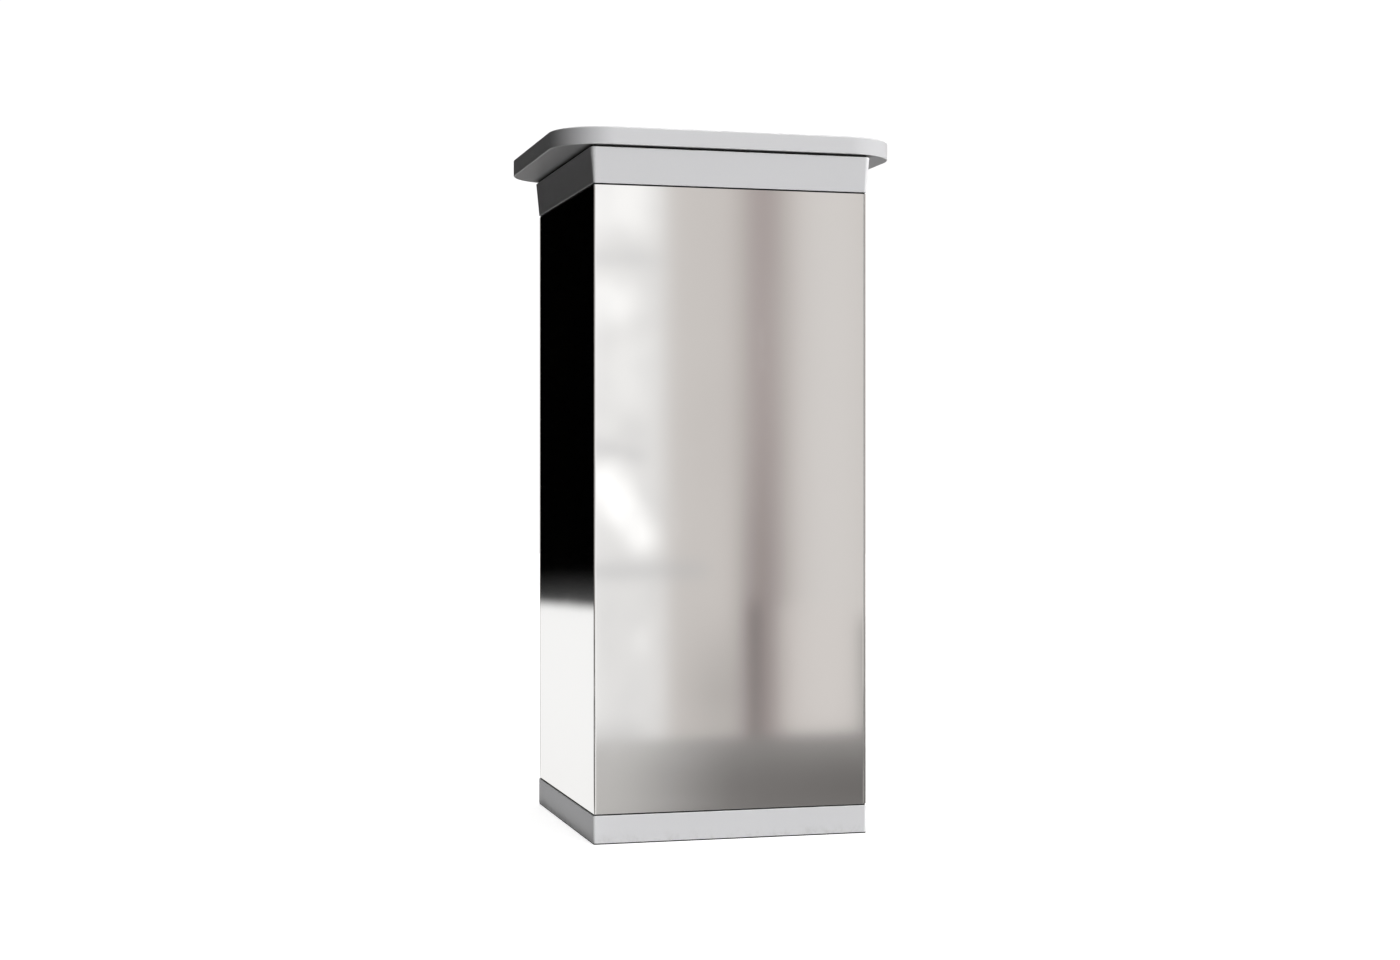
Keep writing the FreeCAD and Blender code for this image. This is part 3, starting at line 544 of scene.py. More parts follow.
def make_piece(name, form, material, sharp=35, edge=None):
    """Turns a finished form into an object with smooth faces and crisp edges."""
    bmesh.ops.recalc_face_normals(form, faces=form.faces)
    mesh = bpy.data.meshes.new(name)
    form.to_mesh(mesh)
    form.free()
    mesh.materials.append(material)
    mesh.shade_smooth()
    mesh.set_sharp_from_angle(angle=math.radians(sharp))
    piece = add_object(name, mesh)
    if edge:
        rounding = piece.modifiers.new("edge_rounding", "BEVEL")
        rounding.width = edge
        rounding.segments = 2
        rounding.limit_method = "ANGLE"
        rounding.angle_limit = math.radians(50)
    weighting = piece.modifiers.new("flat_faces", "WEIGHTED_NORMAL")
    weighting.keep_sharp = True
    return piece


def coated_ring(name, loops, coat):
    """A closed ring of coated metal whose first loops are its outer wall."""
    form = coated_form()
    rows = add_skin(form, loops, tube=True)
    mark_wear_and_highlight(form, rows, CORNER_WEAR_AND_HIGHLIGHT)
    return make_piece(name, form, coat)


def fit(piece, slot, *nodes):
    """Rides a piece on the bollard and hides the nodes it stands for; the finish slot is not
    used.
    """
    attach(piece, BODY)
    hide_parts(*nodes)
    return piece


def finish_node(name, material):
    """Gives a carried-over CAD node its finish."""
    slots = frame["nodes"][name].data.materials
    slots.clear()
    slots.append(material)


def levels(node):
    """The lowest and the highest level of a node."""
    low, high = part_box(node)
    return low.z, high.z


def half_widths(node):
    """How far a node reaches to the right and to the back."""
    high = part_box(node)[1]
    return high.x, high.y


# ---------------------------------------------------------------- pieces

def folded_path(corners, bend, steps=10):
    """Centre line of a folded sheet: points with the direction to the sheet's left."""
    corners = [Vector(corner) for corner in corners]
    first = (corners[1] - corners[0]).normalized()
    path = [(corners[0], Vector((-first.y, first.x)))]
    for before, corner, after in zip(corners, corners[1:], corners[2:]):
        into = (corner - before).normalized()
        out = (after - corner).normalized()
        hand = 1 if into.x * out.y - into.y * out.x > 0 else -1
        side = Vector((-into.y, into.x))
        middle = corner - into * bend + side * bend * hand
        for step in range(steps + 1):
            turn = Matrix.Rotation(hand * QUARTER * step / steps, 2)
            path.append((middle - turn @ side * bend * hand, turn @ side))
    last = (corners[-1] - corners[-2]).normalized()
    path.append((corners[-1], Vector((-last.y, last.x))))
    return path


def folded_sheet(name, corners, settings, low, high, material):
    """A sheet folded along a path in plan and standing between two levels."""
    middle_bend = settings.bend - settings.gauge / 2
    form = bmesh.new()
    rows = []
    for level in (low, high):
        row = []
        for point, side in folded_path(corners, middle_bend):
            pair = [point + side * settings.gauge / 2 * hand for hand in (1, -1)]
            row.append([form.verts.new((*spot, level)) for spot in pair])
        rows.append(row)
    lower, upper = rows
    for index in range(len(lower) - 1):
        here, after = lower[index], lower[index + 1]
        above, above_after = upper[index], upper[index + 1]
        form.faces.new((here[0], here[1], after[1], after[0]))
        form.faces.new((above[0], above_after[0], above_after[1], above[1]))
        for hand in (0, 1):
            form.faces.new((here[hand], after[hand], above_after[hand], above[hand]))
    for index in (0, -1):
        form.faces.new((lower[index][0], lower[index][1], upper[index][1], upper[index][0]))
    return make_piece(name, form, material, edge=settings.edge)


class BOLLARD_OT_mirror_sleeve(bpy.types.Operator):
    """Fold the two mirror shells round the bollard"""

    bl_idname = "bollard.mirror_sleeve"
    bl_label = "Mirror sleeve"

    def execute(self, context):
        settings = context.scene.bollard_sleeve
        steel = polished_steel(settings)
        half = half_widths("rear_shell")[0]
        low, high = levels("front_shell")
        middle = half - settings.gauge / 2
        seam = half - settings.gauge
        inside = seam - settings.gauge / 2
        tip = settings.return_width - half
        front = folded_sheet("shell_front_left", [
            (inside, tip), (inside, -middle), (-middle, -middle), (-middle, inside),
            (tip, inside),
        ], settings, low, high, steel)
        rear = folded_sheet("shell_right_back", [
            (middle, -half), (middle, middle), (-half, middle),
        ], settings, low, high, steel)
        fit(front, "mirror_steel", "front_shell")
        fit(rear, "mirror_steel", "rear_shell")
        return {"FINISHED"}


class BOLLARD_OT_base_skirt(bpy.types.Operator):
    """Make the base skirt with its ledge and locating rib"""

    bl_idname = "bollard.base_skirt"
    bl_label = "Base skirt"

    def execute(self, context):
        settings = context.scene.bollard_trim
        bend = context.scene.bollard_sleeve.bend
        low, rib_top = levels("base_skirt")
        top = settings.skirt_top
        outer = half_widths("base_skirt")[0]
        sleeve = half_widths("rear_shell")[0]
        corner = bend + outer - sleeve
        wall = outer - settings.wall
        ledge = sleeve - 24 * MM
        rib_out = settings.rib_half
        rib_in = rib_out - settings.rib_wall
        tight = 0.3 * MM
        loops = wall_profile(low, top, (outer, outer), (outer, outer), settings.edge,
                             (corner, corner))
        for half, level in ((rib_out, top), (rib_out, rib_top), (rib_in, rib_top),
                            (rib_in, top), (ledge, top), (ledge, top - settings.flange),
                            (wall, top - settings.flange), (wall, low)):
            loops.append(rounded_loop(half, half, tight, level))
        skirt = coated_ring("skirt_coated", loops, powder_coat(settings))
        fit(skirt, "grey_powder_coat", "base_skirt")
        return {"FINISHED"}


class BOLLARD_OT_collar(bpy.types.Operator):
    """Make the flared collar between the sleeve and the cap plate"""

    bl_idname = "bollard.collar"
    bl_label = "Flared collar"

    def execute(self, context):
        settings = context.scene.bollard_trim
        low, high = levels("collar")
        lip = half_widths("collar")[0]
        foot = settings.foot_half
        sleeve = half_widths("rear_shell")[0]
        bend = context.scene.bollard_sleeve.bend
        corner = (bend + foot - sleeve, bend + lip - sleeve)
        loops = wall_profile(low, high, (foot, foot), (lip, lip), settings.edge, corner)
        wall = foot - settings.wall
        tight = 0.3 * MM
        lip_opening = sleeve - 14 * MM
        foot_opening = sleeve - 35 * MM
        for half, level in ((lip_opening, high), (lip_opening, high - settings.flange),
                            (wall, high - settings.flange), (wall, low + settings.flange),
                            (foot_opening, low + settings.flange), (foot_opening, low)):
            loops.append(rounded_loop(half, half, tight, level))
        collar = coated_ring("collar_flared", loops, bpy.data.materials["powder_coat"])
        fit(collar, "grey_powder_coat", "collar")
        return {"FINISHED"}


class BOLLARD_OT_cap_plate(bpy.types.Operator):
    """Make the thick cap plate with its four counterbores"""

    bl_idname = "bollard.cap_plate"
    bl_label = "Cap plate"

    def execute(self, context):
        settings = context.scene.bollard_trim
        low, high = levels("cap_plate")
        half = half_widths("cap_plate")
        corner = (settings.plate_corner, settings.plate_corner)
        loops = wall_profile(low, high, half, half, settings.plate_edge, corner,
                             PLATE_CORNER_STEPS)
        form = coated_form()
        rows = add_skin(form, loops, end=False)
        mark_wear_and_highlight(form, rows)
        rims = ring_edges(form, rows[-1])
        radius = settings.plug_hole / 2
        bevel = 0.35 * MM
        bottom = high - settings.plug_hole_depth
        for where in plug_places(settings):
            hole = [round_loop(radius + bevel, high), round_loop(radius, high - bevel),
                    round_loop(radius, bottom)]
            ring = add_skin(form, hole, start=False, where=where)[0]
            rims += ring_edges(form, ring)
        bmesh.ops.triangle_fill(form, use_beauty=True, use_dissolve=False, edges=rims)
        coat = bpy.data.materials["powder_coat"]
        fit(make_piece("cap_plate_coated", form, coat), "grey_powder_coat", "cap_plate")
        return {"FINISHED"}


def plug_places(settings):
    """Where the four counterbores and their plugs are."""
    offset = settings.plug_offset
    return [Matrix.Translation((side_x * offset, side_y * offset, 0))
            for side_x in (-1, 1) for side_y in (-1, 1)]


class BOLLARD_OT_cap_plugs(bpy.types.Operator):
    """Press a moulded plug into each counterbore of the cap plate"""

    bl_idname = "bollard.cap_plugs"
    bl_label = "Cap plugs"

    def execute(self, context):
        settings = context.scene.bollard_trim
        low, high = levels("cap_plugs")
        clearance = 0.12 * MM
        radius = settings.plug_hole / 2 - clearance
        rim = 0.5 * MM
        rim_steps = 4
        profile = [(radius - rim, low), (radius, low + rim)]
        for inward, up in edge_arc(rim, rim_steps, 0, QUARTER):
            profile.append((radius - inward, high - rim + up))
        dish = high - 0.35 * MM
        gate = high - 0.63 * MM
        profile += [(radius * 0.8, high), (radius * 0.77, dish), (radius * 0.2, dish),
                    (radius * 0.16, gate), (radius * 0.05, gate)]
        form = bmesh.new()
        for where in plug_places(settings):
            add_skin(form, [round_loop(*point) for point in profile], where=where)
        plugs = make_piece("plugs_pressed_in", form, plug_plastic(settings), sharp=50)
        fit(plugs, "grey_plugs", "cap_plugs")
        return {"FINISHED"}


class BOLLARD_OT_seals(bpy.types.Operator):
    """Lay the four rubber seals, each with its pressed bead"""

    bl_idname = "bollard.seals"
    bl_label = "Rubber seals"

    def execute(self, context):
        settings = context.scene.bollard_fixings
        rubber = black_rubber(settings)
        bend = context.scene.bollard_sleeve.bend
        sleeve = half_widths("rear_shell")[0]
        strip = 4 * MM
        inner_corner = bend / 3
        bead_steps = 8
        for node, width, corner in (("bedding_seal", strip, bend),
                                    ("lower_seal", strip, bend),
                                    ("upper_seal", strip, bend),
                                    ("cap_gasket", 14 * MM, bend + 2 * MM)):
            low, high = levels(node)
            outer = half_widths(node)[0]
            inner = outer - width
            bead = min(settings.bead, abs(outer - sleeve) * 0.5)
            loops = []
            for step in range(bead_steps + 1):
                risen = step / bead_steps
                bulge = bead * math.sin(math.pi * risen)
                half = outer - bead + bulge
                loops.append(rounded_loop(half, half, corner + bulge, low + (high - low) * risen))
            for level in (high, low):
                loops.append(rounded_loop(inner, inner, inner_corner, level))
            form = bmesh.new()
            add_skin(form, loops, tube=True)
            fit(make_piece(node + "_bead", form, rubber, sharp=60), "black_rubber", node)
        return {"FINISHED"}


class BOLLARD_OT_shell_screws(bpy.types.Operator):
    """Turn the button-head screws that hold the rear shell"""

    bl_idname = "bollard.shell_screws"
    bl_label = "Shell screws"

    def execute(self, context):
        settings = context.scene.bollard_fixings
        sleeve = half_widths("rear_shell")[0]
        half = settings.head / 2
        rise = settings.rise
        shank = 12 * MM
        crown_start = rise * 0.3
        crown_width = half * 0.46
        crown_steps = 7
        profile = [(half * 0.5, -shank), (half * 0.52, 0), (half * 0.94, 0),
                   (half, rise * 0.12), (half, crown_start)]
        for step in range(1, crown_steps + 1):
            turn = QUARTER * step / crown_steps
            profile.append((half - crown_width * (1 - math.cos(turn)),
                            crown_start + (rise - crown_start) * math.sin(turn)))
        loops = [round_loop(*point) for point in profile]
        mouth = 0.15 * MM
        socket_floor = rise * 0.38
        loops += [hexagon_loop(settings.key + mouth * 2, rise),
                  hexagon_loop(settings.key, rise - mouth),
                  hexagon_loop(settings.key, socket_floor)]
        form = bmesh.new()
        rows = (settings.lower_row, settings.middle_row, settings.upper_row)
        columns = (settings.seam_inset - sleeve, sleeve - settings.far_inset)
        lean_right = Matrix.Rotation(QUARTER, 4, "Y")
        lean_back = Matrix.Rotation(-QUARTER, 4, "X")
        row_twist = 0.7
        column_twist = 1.9
        for row, level in enumerate(rows):
            for column, across in enumerate(columns):
                twist = Matrix.Rotation(row_twist * row + column_twist * column, 4, "Z")
                for place, lean in (((sleeve, across, level), lean_right),
                                    ((across, sleeve, level), lean_back)):
                    add_skin(form, loops, where=Matrix.Translation(place) @ lean @ twist)
        steel = fastener_metal("stainless_steel", (0.72, 0.71, 0.69), 0.2)
        fit(make_piece("screws_button_head", form, steel), "stainless_fasteners", "shell_screws")
        return {"FINISHED"}


class BOLLARD_OT_inner_frame(bpy.types.Operator):
    """Finish the post, plates, carriers and their fixings inside the sleeve"""

    bl_idname = "bollard.inner_frame"
    bl_label = "Inner frame"

    def execute(self, context):
        finishes = {
            "galvanised_steel": galvanised_steel(context.scene.bollard_fixings),
            "zinc_fasteners": fastener_metal("zinc_plate", (0.63, 0.64, 0.66), 0.3),
        }
        inner = [part for part in frame["record"]["subparts"]
                 if part["material_slot"] in finishes]
        if not inner:
            raise RuntimeError("the record names no inner frame")
        for part in inner:
            finish_node(part["node"], finishes[part["material_slot"]])
        return {"FINISHED"}


# ---------------------------------------------------------------- stage

def stage_sheet(name, corners, material):
    """A flat card of the stage from its corners."""
    mesh = bpy.data.meshes.new(name)
    mesh.from_pydata(corners, [], [list(range(len(corners)))])
    mesh.materials.append(material)
    card = add_object(name, mesh)
    return card


def upright(start, end, foot, top):
    """The corners of a standing card between two places in plan."""
    return [(*start, foot), (*end, foot), (*end, top), (*start, top)]


def lying(side, front, back, level):
    """The corners of a lying card that reaches as far left as right."""
    return [(-side, front, level), (side, front, level), (side, back, level),
            (-side, back, level)]


def seen_only_by(card, *rays):
    """Limits a stage object to some kinds of light path."""
    for kind in ("camera", "diffuse", "glossy", "transmission", "shadow", "volume_scatter"):
        setattr(card, "visible_" + kind, kind in rays)


def soft_patch(mix, across, up, middle, reach, softness, lean=0.0):
    """A soft-edged box on a card: 1 inside and 0 outside."""
    cosine, sine = math.cos(lean), math.sin(lean)
    off_x = across - middle[0]
    off_z = up - middle[1]
    along = abs(off_x * cosine + off_z * sine)
    over = abs(off_z * cosine - off_x * sine)
    inside_x = mix.fade(along, reach[0] + softness[0], reach[0] - softness[0])
    inside_z = mix.fade(over, reach[1] + softness[1], reach[1] - softness[1])
    return inside_x * inside_z


# Soft patches of light and shade on the walls of the room: middle, half sizes and
# softness across and up the wall in metres, then lean, share and colour.
WALL_SHADE = (0.6, 0.57, 0.548)
WINDOW = ((-1.85, 0.6), (2.462, 3.0), (0.045, 0.1))
FRONT_PATCHES = (
    (*WINDOW, 0.0, 0.85, (0.84, 0.84, 0.835)),
    ((-2.1, 0.6), (2.50, 3.0), (0.02, 0.1), 0.0, 0.9, (1.1, 1.1, 1.1)),
    ((-1.3, 0.8), (0.45, 3.0), (0.25, 0.1), 0.0, 0.8, (0.62, 0.61, 0.6)),
    ((-3.1, 0.8), (0.35, 3.0), (0.2, 0.1), 0.0, 0.85, (0.4, 0.385, 0.375)),
    ((1.09, 0.7), (0.09, 3.0), (0.07, 0.1), 0.0, 0.8, (0.68, 0.655, 0.635)),
    ((0.89, 0.9), (0.058, 3.0), (0.062, 0.1), 0.0, 0.95, (0.36, 0.312, 0.302)),
    ((0.88, 0.12), (0.040, 0.36), (0.055, 0.32), 0.0, 0.55, (0.21, 0.18, 0.175)),
    ((0.76, -0.08), (0.07, 0.12), (0.10, 0.16), 0.0, 0.5, (0.30, 0.28, 0.27)),
    ((1.05, -0.03), (0.11, 0.19), (0.035, 0.035), 0.0, 0.45, (0.68, 0.64, 0.615)),
    ((0.860, -0.05), (0.018, 0.22), (0.022, 0.05), 0.0, 0.75, (0.12, 0.10, 0.10)),
    ((1.24, -0.1), (0.06, 0.22), (0.04, 0.04), 0.0, 0.8, (0.17, 0.16, 0.155)),
    ((0.47, 1.27), (0.10, 0.09), (0.05, 0.05), 0.0, 0.75, (1.08, 1.08, 1.07)),
    ((0.45, 0.99), (0.07, 0.06), (0.06, 0.05), 0.25, 0.85, (1.12, 1.12, 1.11)),
    ((0.47, 1.11), (0.12, 0.012), (0.05, 0.024), 0.0, 0.6, (0.60, 0.60, 0.605)),
    ((0.50, 0.80), (0.07, 0.10), (0.05, 0.05), -0.2, 0.5, (1.0, 1.0, 0.99)),
    ((0.44, 0.655), (0.03, 0.03), (0.03, 0.03), 0.0, 0.5, (1.0, 1.0, 0.99)),
    ((0.47, 0.585), (0.08, 0.014), (0.03, 0.025), -0.2, 0.6, (0.50, 0.50, 0.51)),
    ((0.45, 0.50), (0.045, 0.050), (0.04, 0.03), 0.5, 0.95, (1.3, 1.3, 1.29)),
    ((0.49, 0.43), (0.045, 0.040), (0.03, 0.03), 0.8, 0.9, (1.3, 1.3, 1.29)),
    ((0.535, 0.37), (0.036, 0.055), (0.035, 0.03), 0.35, 0.9, (1.25, 1.25, 1.24)),
    ((0.53, 0.262), (0.19, 0.020), (0.03, 0.022), 0.0, 0.6, (0.50, 0.50, 0.505)),
    ((0.44, -0.185), (0.11, 0.02), (0.07, 0.04), 0.0, 0.55, (0.56, 0.56, 0.56)),
    ((0.545, 0.07), (0.016, 0.035), (0.025, 0.03), 0.0, 0.6, (1.0, 1.0, 0.99)),
    ((0.595, 0.0), (0.016, 0.24), (0.016, 0.03), 0.0, 0.5, (0.80, 0.79, 0.78)),
)
SIDE_PATCHES = (
    ((-1.6, 0.9), (0.45, 1.3), (0.12, 0.12), 0.0, 0.8, (0.95, 0.95, 0.94)),
    ((-0.28, 0.75), (0.16, 0.55), (0.05, 0.05), 0.0, 0.8, (1.1, 1.1, 1.09)),
    ((0.22, 0.9), (0.08, 3.0), (0.09, 0.1), 0.0, 0.85, (0.30, 0.27, 0.26)),
    ((1.5, 0.7), (0.35, 0.9), (0.12, 0.12), 0.0, 0.8, (0.92, 0.92, 0.91)),
    ((2.5, 0.6), (0.18, 3.0), (0.12, 0.1), 0.0, 0.8, (0.22, 0.21, 0.21)),
    ((-2.7, 0.6), (0.18, 3.0), (0.12, 0.1), 0.0, 0.8, (0.26, 0.24, 0.24)),
)
LEFT_PATCHES = SIDE_PATCHES + (
    ((-2.3, 1.5), (1.5, 3.4), (0.15, 0.2), 0.0, 1.0, (0.012, 0.012, 0.012)),
    ((4.2, 1.5), (3.2, 3.4), (0.25, 0.2), 0.0, 1.0, (0.012, 0.012, 0.012)),
)
CEILING_PATCHES = (
    ((-2.6, 3.6), (2.3, 3.0), (0.6, 0.2), 0.0, 1.0, (0.02, 0.02, 0.02)),
)
BACK_PATCHES = SIDE_PATCHES + (
    ((-2.35, 1.5), (1.65, 3.4), (0.2, 0.2), 0.0, 1.0, (0.0, 0.0, 0.0)),
    ((-2.0, -0.08), (1.2, 0.08), (0.3, 0.13), 0.0, 1.0, (0.09, 0.09, 0.09)),
)


def wall_light(name, patches, level, across_axis, window=None):
    """A glowing wall of the room: a warm ground, soft patches of light and shade, and a mottled
    painted shade of leaves over its window if any.
    """
    material, mix = new_finish(name)
    place = mix.place()
    axes = mix.axes(place)
    across, up = axes[across_axis], axes[2]
    uneven = mix.noise(mix.stretch(place, (2.2, 2.2, 0.6)), 2.6, 3)
    shade = mix.blend(uneven, scaled(WALL_SHADE, 0.94), scaled(WALL_SHADE, 1.06))
    for middle, reach, softness, lean, part, patch_shade in patches:
        mask = soft_patch(mix, across, up, middle, reach, softness, lean)
        shade = mix.blend(mask * part, shade, patch_shade)
    if window:
        # Painted shade of leaves, which mottles the window's light on the wall.
        leaf_shade = mix.fade(mix.noise(mix.stretch(place, (1, 1, 0.8)), 13, 3, 0.55), 0.44, 0.62)
        mottled_window_shade = soft_patch(mix, across, up, *window) * leaf_shade
        shade = mix.blend(mottled_window_shade * 0.22, shade, (0.62, 0.62, 0.625))
    mix.glow(shade, level)
    return material


def light_streaks(mix, place, turn):
    """Long soft streaks of window light that cross a floor."""
    across, away, _ = mix.axes(place)
    along = across * math.cos(turn) + away * math.sin(turn)
    over = away * math.cos(turn) - across * math.sin(turn)
    streak_place = mix.node("ShaderNodeCombineXYZ", sockets={0: along * 0.5, 1: over * 1.9})
    return mix.fade(mix.noise(streak_place, 1.5, 2, 0.4), 0.44, 0.62)


def front_floor_light(level):
    """The floor in front: streaks of light by the bollard, then dark with a painted pool of light
    and a white strip.
    """
    material, mix = new_finish("room_floor_front")
    place = mix.place()
    across, away, _ = mix.axes(place)
    uneven = mix.noise(mix.stretch(place, (0.8, 3.6, 1)), 2.4, 3) - 0.5
    dark = mix.blend(mix.fade(across, 0.45, 1.0), (0.165, 0.157, 0.152), (0.118, 0.112, 0.108))
    shade = mix.blend(mix.fade(away, -1.9, -3.0), dark, (0.25, 0.242, 0.236))
    # A painted pool of light on the floor.
    light_pool = mix.fade(across + away * 0.3 + uneven * 0.16, -0.04, -0.42)
    shade = mix.blend(light_pool, shade, (0.525, 0.515, 0.505))
    shade = mix.blend(mix.fade(across, 0.12, 0.02), shade, (1.0, 1.0, 0.995))
    shade = mix.blend(mix.fade(across - away * 0.61, -0.12, -0.28), shade, (0.03, 0.03, 0.03))
    far_right = mix.fade(across, 2.0, 2.6) * light_streaks(mix, place, -0.4)
    shade = mix.blend(far_right, shade, (0.55, 0.54, 0.53))
    far_left = mix.fade(across, -0.9, -1.9) * light_streaks(mix, place, 0.9)
    shade = mix.blend(far_left, shade, (0.66, 0.65, 0.64))
    lit = mix.blend(light_streaks(mix, place, 0.5), (0.2, 0.192, 0.186), (0.72, 0.71, 0.7))
    shade = mix.blend(mix.fade(away, -1.75, -1.25), shade, lit)
    mix.glow(shade, level)
    return material


def back_floor_light(level):
    """The floor behind: streaked grey, a white strip past the left face and dark beyond it."""
    material, mix = new_finish("room_floor_back")
    place = mix.place()
    across, away, _ = mix.axes(place)
    beside = mix.fade(across, 0.2, 1.6)
    behind = mix.fade(away, 0.2, 1.8)
    shade = mix.blend(beside + behind, (0.16, 0.155, 0.15), (0.5, 0.49, 0.48))
    shade = mix.blend(light_streaks(mix, place, 0.6), shade, (0.93, 0.93, 0.92))
    shade = mix.blend(mix.fade(across, 0.05, -0.15), shade, (0.96, 0.96, 0.955))
    left = mix.fade(across + away * 0.24, -0.4, -0.6)
    far_slope = away - (across + 1.475) * 2.5
    shade = mix.blend(left, shade, (0.035, 0.035, 0.035))
    far_left = mix.fade(across + away * 0.24, -0.9, -1.7) * light_streaks(mix, place, 1.2)
    shade = mix.blend(far_left, shade, (0.62, 0.61, 0.6))
    shade = mix.blend(mix.fade(far_slope, 4.4, 5.95), shade, (0.05, 0.05, 0.05))
    mix.glow(shade, level)
    return material


def pale_floor(settings):
    """The plain floor under the bollard."""
    material, mix = new_finish("pale_floor")
    place = mix.place()
    tone = tuple(settings.floor)
    shade = mix.blend(mix.noise(place, 1.4, 3), scaled(tone, 0.99), tone)
    mix.surface(Base_Color=shade, Roughness=0.9, Emission_Color=(1, 1, 1, 1),
                Emission_Strength=settings.floor_glow)
    return material


def light_from(mix, towards, way):
    """A broad glow round one direction, which fades out to its sides."""
    focus = 6.0
    turned = mix.node("ShaderNodeVectorMath", {"operation": "DOT_PRODUCT"},
                      {0: towards, 1: way}, "Value")
    return turned.above(0.0) ** focus


def studio_world(level):
    """Soft light: strong from the front right, some from the back right, little elsewhere."""
    world = bpy.data.worlds.new("studio_world")
    bpy.context.scene.world = world
    mix = Recipe(world)
    towards = mix.node("ShaderNodeTexCoord", output="Generated")
    key = light_from(mix, towards, (0.56, -0.82, 0.11)) * 7.2
    rim = light_from(mix, towards, (0.6, 0.79, 0.12)) * 2.2
    risen = mix.fade(mix.axes(towards)[2], -0.36, 0.0, 0.1)
    total = 0.044 + (key + rim) * risen
    glow = mix.node("ShaderNodeBackground", sockets={"Strength": total * level})
    mix.node("ShaderNodeOutputWorld", sockets={"Surface": glow})


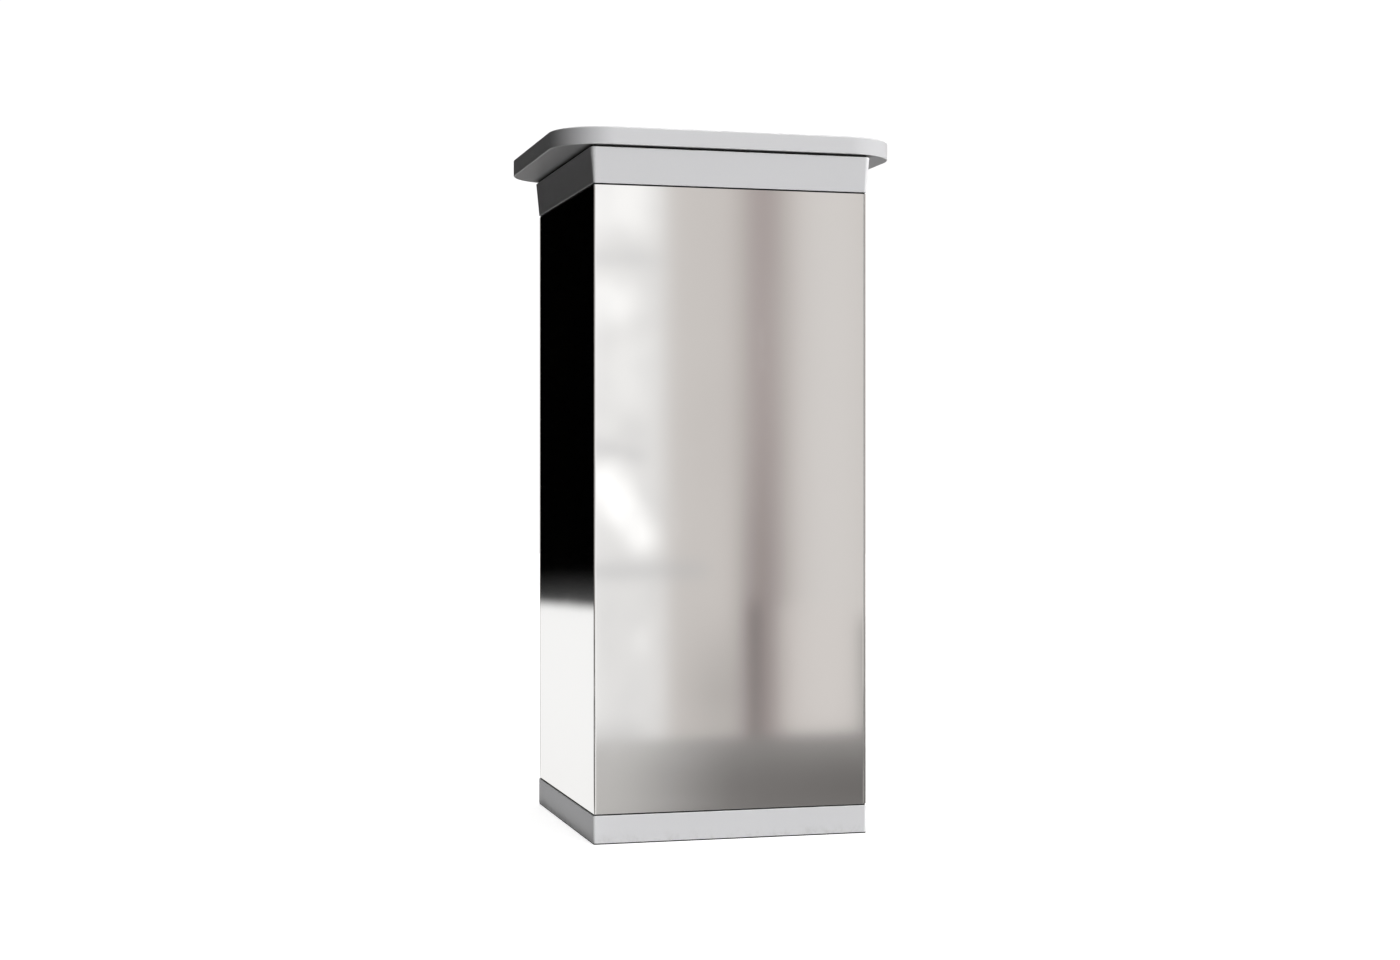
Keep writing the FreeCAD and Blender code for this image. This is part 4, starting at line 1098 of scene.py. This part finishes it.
class BOLLARD_OT_stage(bpy.types.Operator):
    """Set the pale floor, the soft light, the room that the steel mirrors and the camera"""

    bl_idname = "bollard.stage"
    bl_label = "Stage"

    def execute(self, context):
        settings = context.scene.bollard_studio
        studio_world(settings.room)
        self.lay_floor(settings)
        self.raise_backdrop()
        self.hang_room(settings)
        self.hang_lamps(settings)
        self.place_camera(settings)
        context.scene.view_settings.view_transform = "Standard"
        return {"FINISHED"}

    @staticmethod
    def lay_floor(settings):
        reach = 12
        under = -0.3 * MM
        corners = lying(reach, -reach, reach, under)
        floor = stage_sheet("pale_floor", corners, pale_floor(settings))
        seen_only_by(floor, "camera")

    @staticmethod
    def raise_backdrop():
        form = bmesh.new()
        bmesh.ops.create_uvsphere(form, u_segments=48, v_segments=24, radius=11.9)
        mesh = bpy.data.meshes.new("white_backdrop")
        form.to_mesh(mesh)
        form.free()
        material, mix = new_finish("white_backdrop")
        soft = mix.noise(mix.place(), 0.2, 1)
        mix.glow(mix.blend(soft, (0.995, 0.995, 0.995), (1, 1, 1)), 1.06)
        mesh.materials.append(material)
        backdrop = add_object("white_backdrop", mesh)
        seen_only_by(backdrop, "camera")

    @staticmethod
    def hang_room(settings):
        level = settings.room
        front, back, side, top = -3.0, 6.2, 4.2, 3.6
        near = -0.25
        sunk = -0.2
        ground = -0.1 * MM
        front_wall = wall_light("room_front", FRONT_PATCHES, level, 0, WINDOW)
        back_wall = wall_light("room_back", BACK_PATCHES, level, 0)
        left_wall = wall_light("room_left", LEFT_PATCHES, level, 1)
        right_wall = wall_light("room_right", SIDE_PATCHES, level, 1)
        ceiling = wall_light("room_ceiling", CEILING_PATCHES, level, 0)
        front_floor = front_floor_light(level)
        back_floor = back_floor_light(level)
        # The room is cards that glow and are seen only in glossy rays: a painted reflection for
        # the steel and the coat to mirror.
        cards = (
            ("room_card_front", front_wall, upright((-side, front), (side, front), sunk, top)),
            ("room_card_back", back_wall, upright((-side, back), (side, back), ground, top)),
            ("room_card_left", left_wall, upright((-side, front), (-side, back), sunk, top)),
            ("room_card_right", right_wall, upright((side, front), (side, back), sunk, top)),
            ("room_card_top", ceiling, lying(side, front, back, top)),
            ("room_card_floor_front", front_floor, lying(side, front, near, sunk)),
            ("room_card_floor_back", back_floor, lying(side, near, back, ground)),
        )
        for name, material, corners in cards:
            seen_only_by(stage_sheet(name, corners, material), "glossy")

    @staticmethod
    def hang_lamps(settings):
        sky = bpy.data.lights.new("overhead_sky", "SUN")
        sky.angle = math.radians(50)
        sky.energy = settings.overhead
        overhead = add_object("overhead_sky", sky)
        overhead.location = (0, 0, 4)
        overhead.visible_glossy = False
        panel = bpy.data.lights.new("floor_bounce", "AREA")
        panel.shape = "RECTANGLE"
        panel.size = 0.2
        panel.size_y = 0.6
        panel.energy = settings.bounce
        bounce = add_object("floor_bounce", panel)
        bounce.location = (-0.315, 0, 2 * MM)
        bounce.rotation_euler = (2 * QUARTER, 0, 0)
        bounce.visible_glossy = False
        bounce.visible_camera = False

    @staticmethod
    def place_camera(settings):
        lens = bpy.data.cameras.new("camera")
        lens.lens = settings.lens
        lens.sensor_width = 36
        lens.clip_end = 60
        camera = add_object("camera", lens)
        camera.location = (settings.camera_x, settings.camera_y, settings.camera_z)
        camera.rotation_euler = (QUARTER, 0, settings.camera_turn)
        bpy.context.scene.camera = camera


OPERATORS = (
    BOLLARD_OT_mirror_sleeve,
    BOLLARD_OT_base_skirt,
    BOLLARD_OT_collar,
    BOLLARD_OT_cap_plate,
    BOLLARD_OT_cap_plugs,
    BOLLARD_OT_seals,
    BOLLARD_OT_shell_screws,
    BOLLARD_OT_inner_frame,
    BOLLARD_OT_stage,
)


class BOLLARD_PT_sidebar(bpy.types.Panel):
    """Lists the settings and the pieces of the bollard"""

    bl_idname = "BOLLARD_PT_sidebar"
    bl_label = "Safety bollard"
    bl_space_type = "VIEW_3D"
    bl_region_type = "UI"
    bl_category = "Bollard"

    def draw(self, context):
        for pointer, group in SETTINGS.items():
            box = self.layout.box()
            for name in group.__annotations__:
                box.prop(getattr(context.scene, pointer), name)
        for operator in OPERATORS:
            self.layout.operator(operator.bl_idname)


def register():
    for group in SETTINGS.values():
        bpy.utils.register_class(group)
    for operator in OPERATORS:
        bpy.utils.register_class(operator)
    bpy.utils.register_class(BOLLARD_PT_sidebar)
    for pointer, group in SETTINGS.items():
        setattr(bpy.types.Scene, pointer, PointerProperty(type=group))


def unregister():
    for pointer in SETTINGS:
        delattr(bpy.types.Scene, pointer)
    bpy.utils.unregister_class(BOLLARD_PT_sidebar)
    for operator in reversed(OPERATORS):
        bpy.utils.unregister_class(operator)
    for group in reversed(list(SETTINGS.values())):
        bpy.utils.unregister_class(group)


def main():
    """Builds the bollard and its stage."""
    register()
    for operator in OPERATORS:
        family, name = operator.bl_idname.split(".")
        getattr(getattr(bpy.ops, family), name)()


if __name__ == "__main__":
    main()
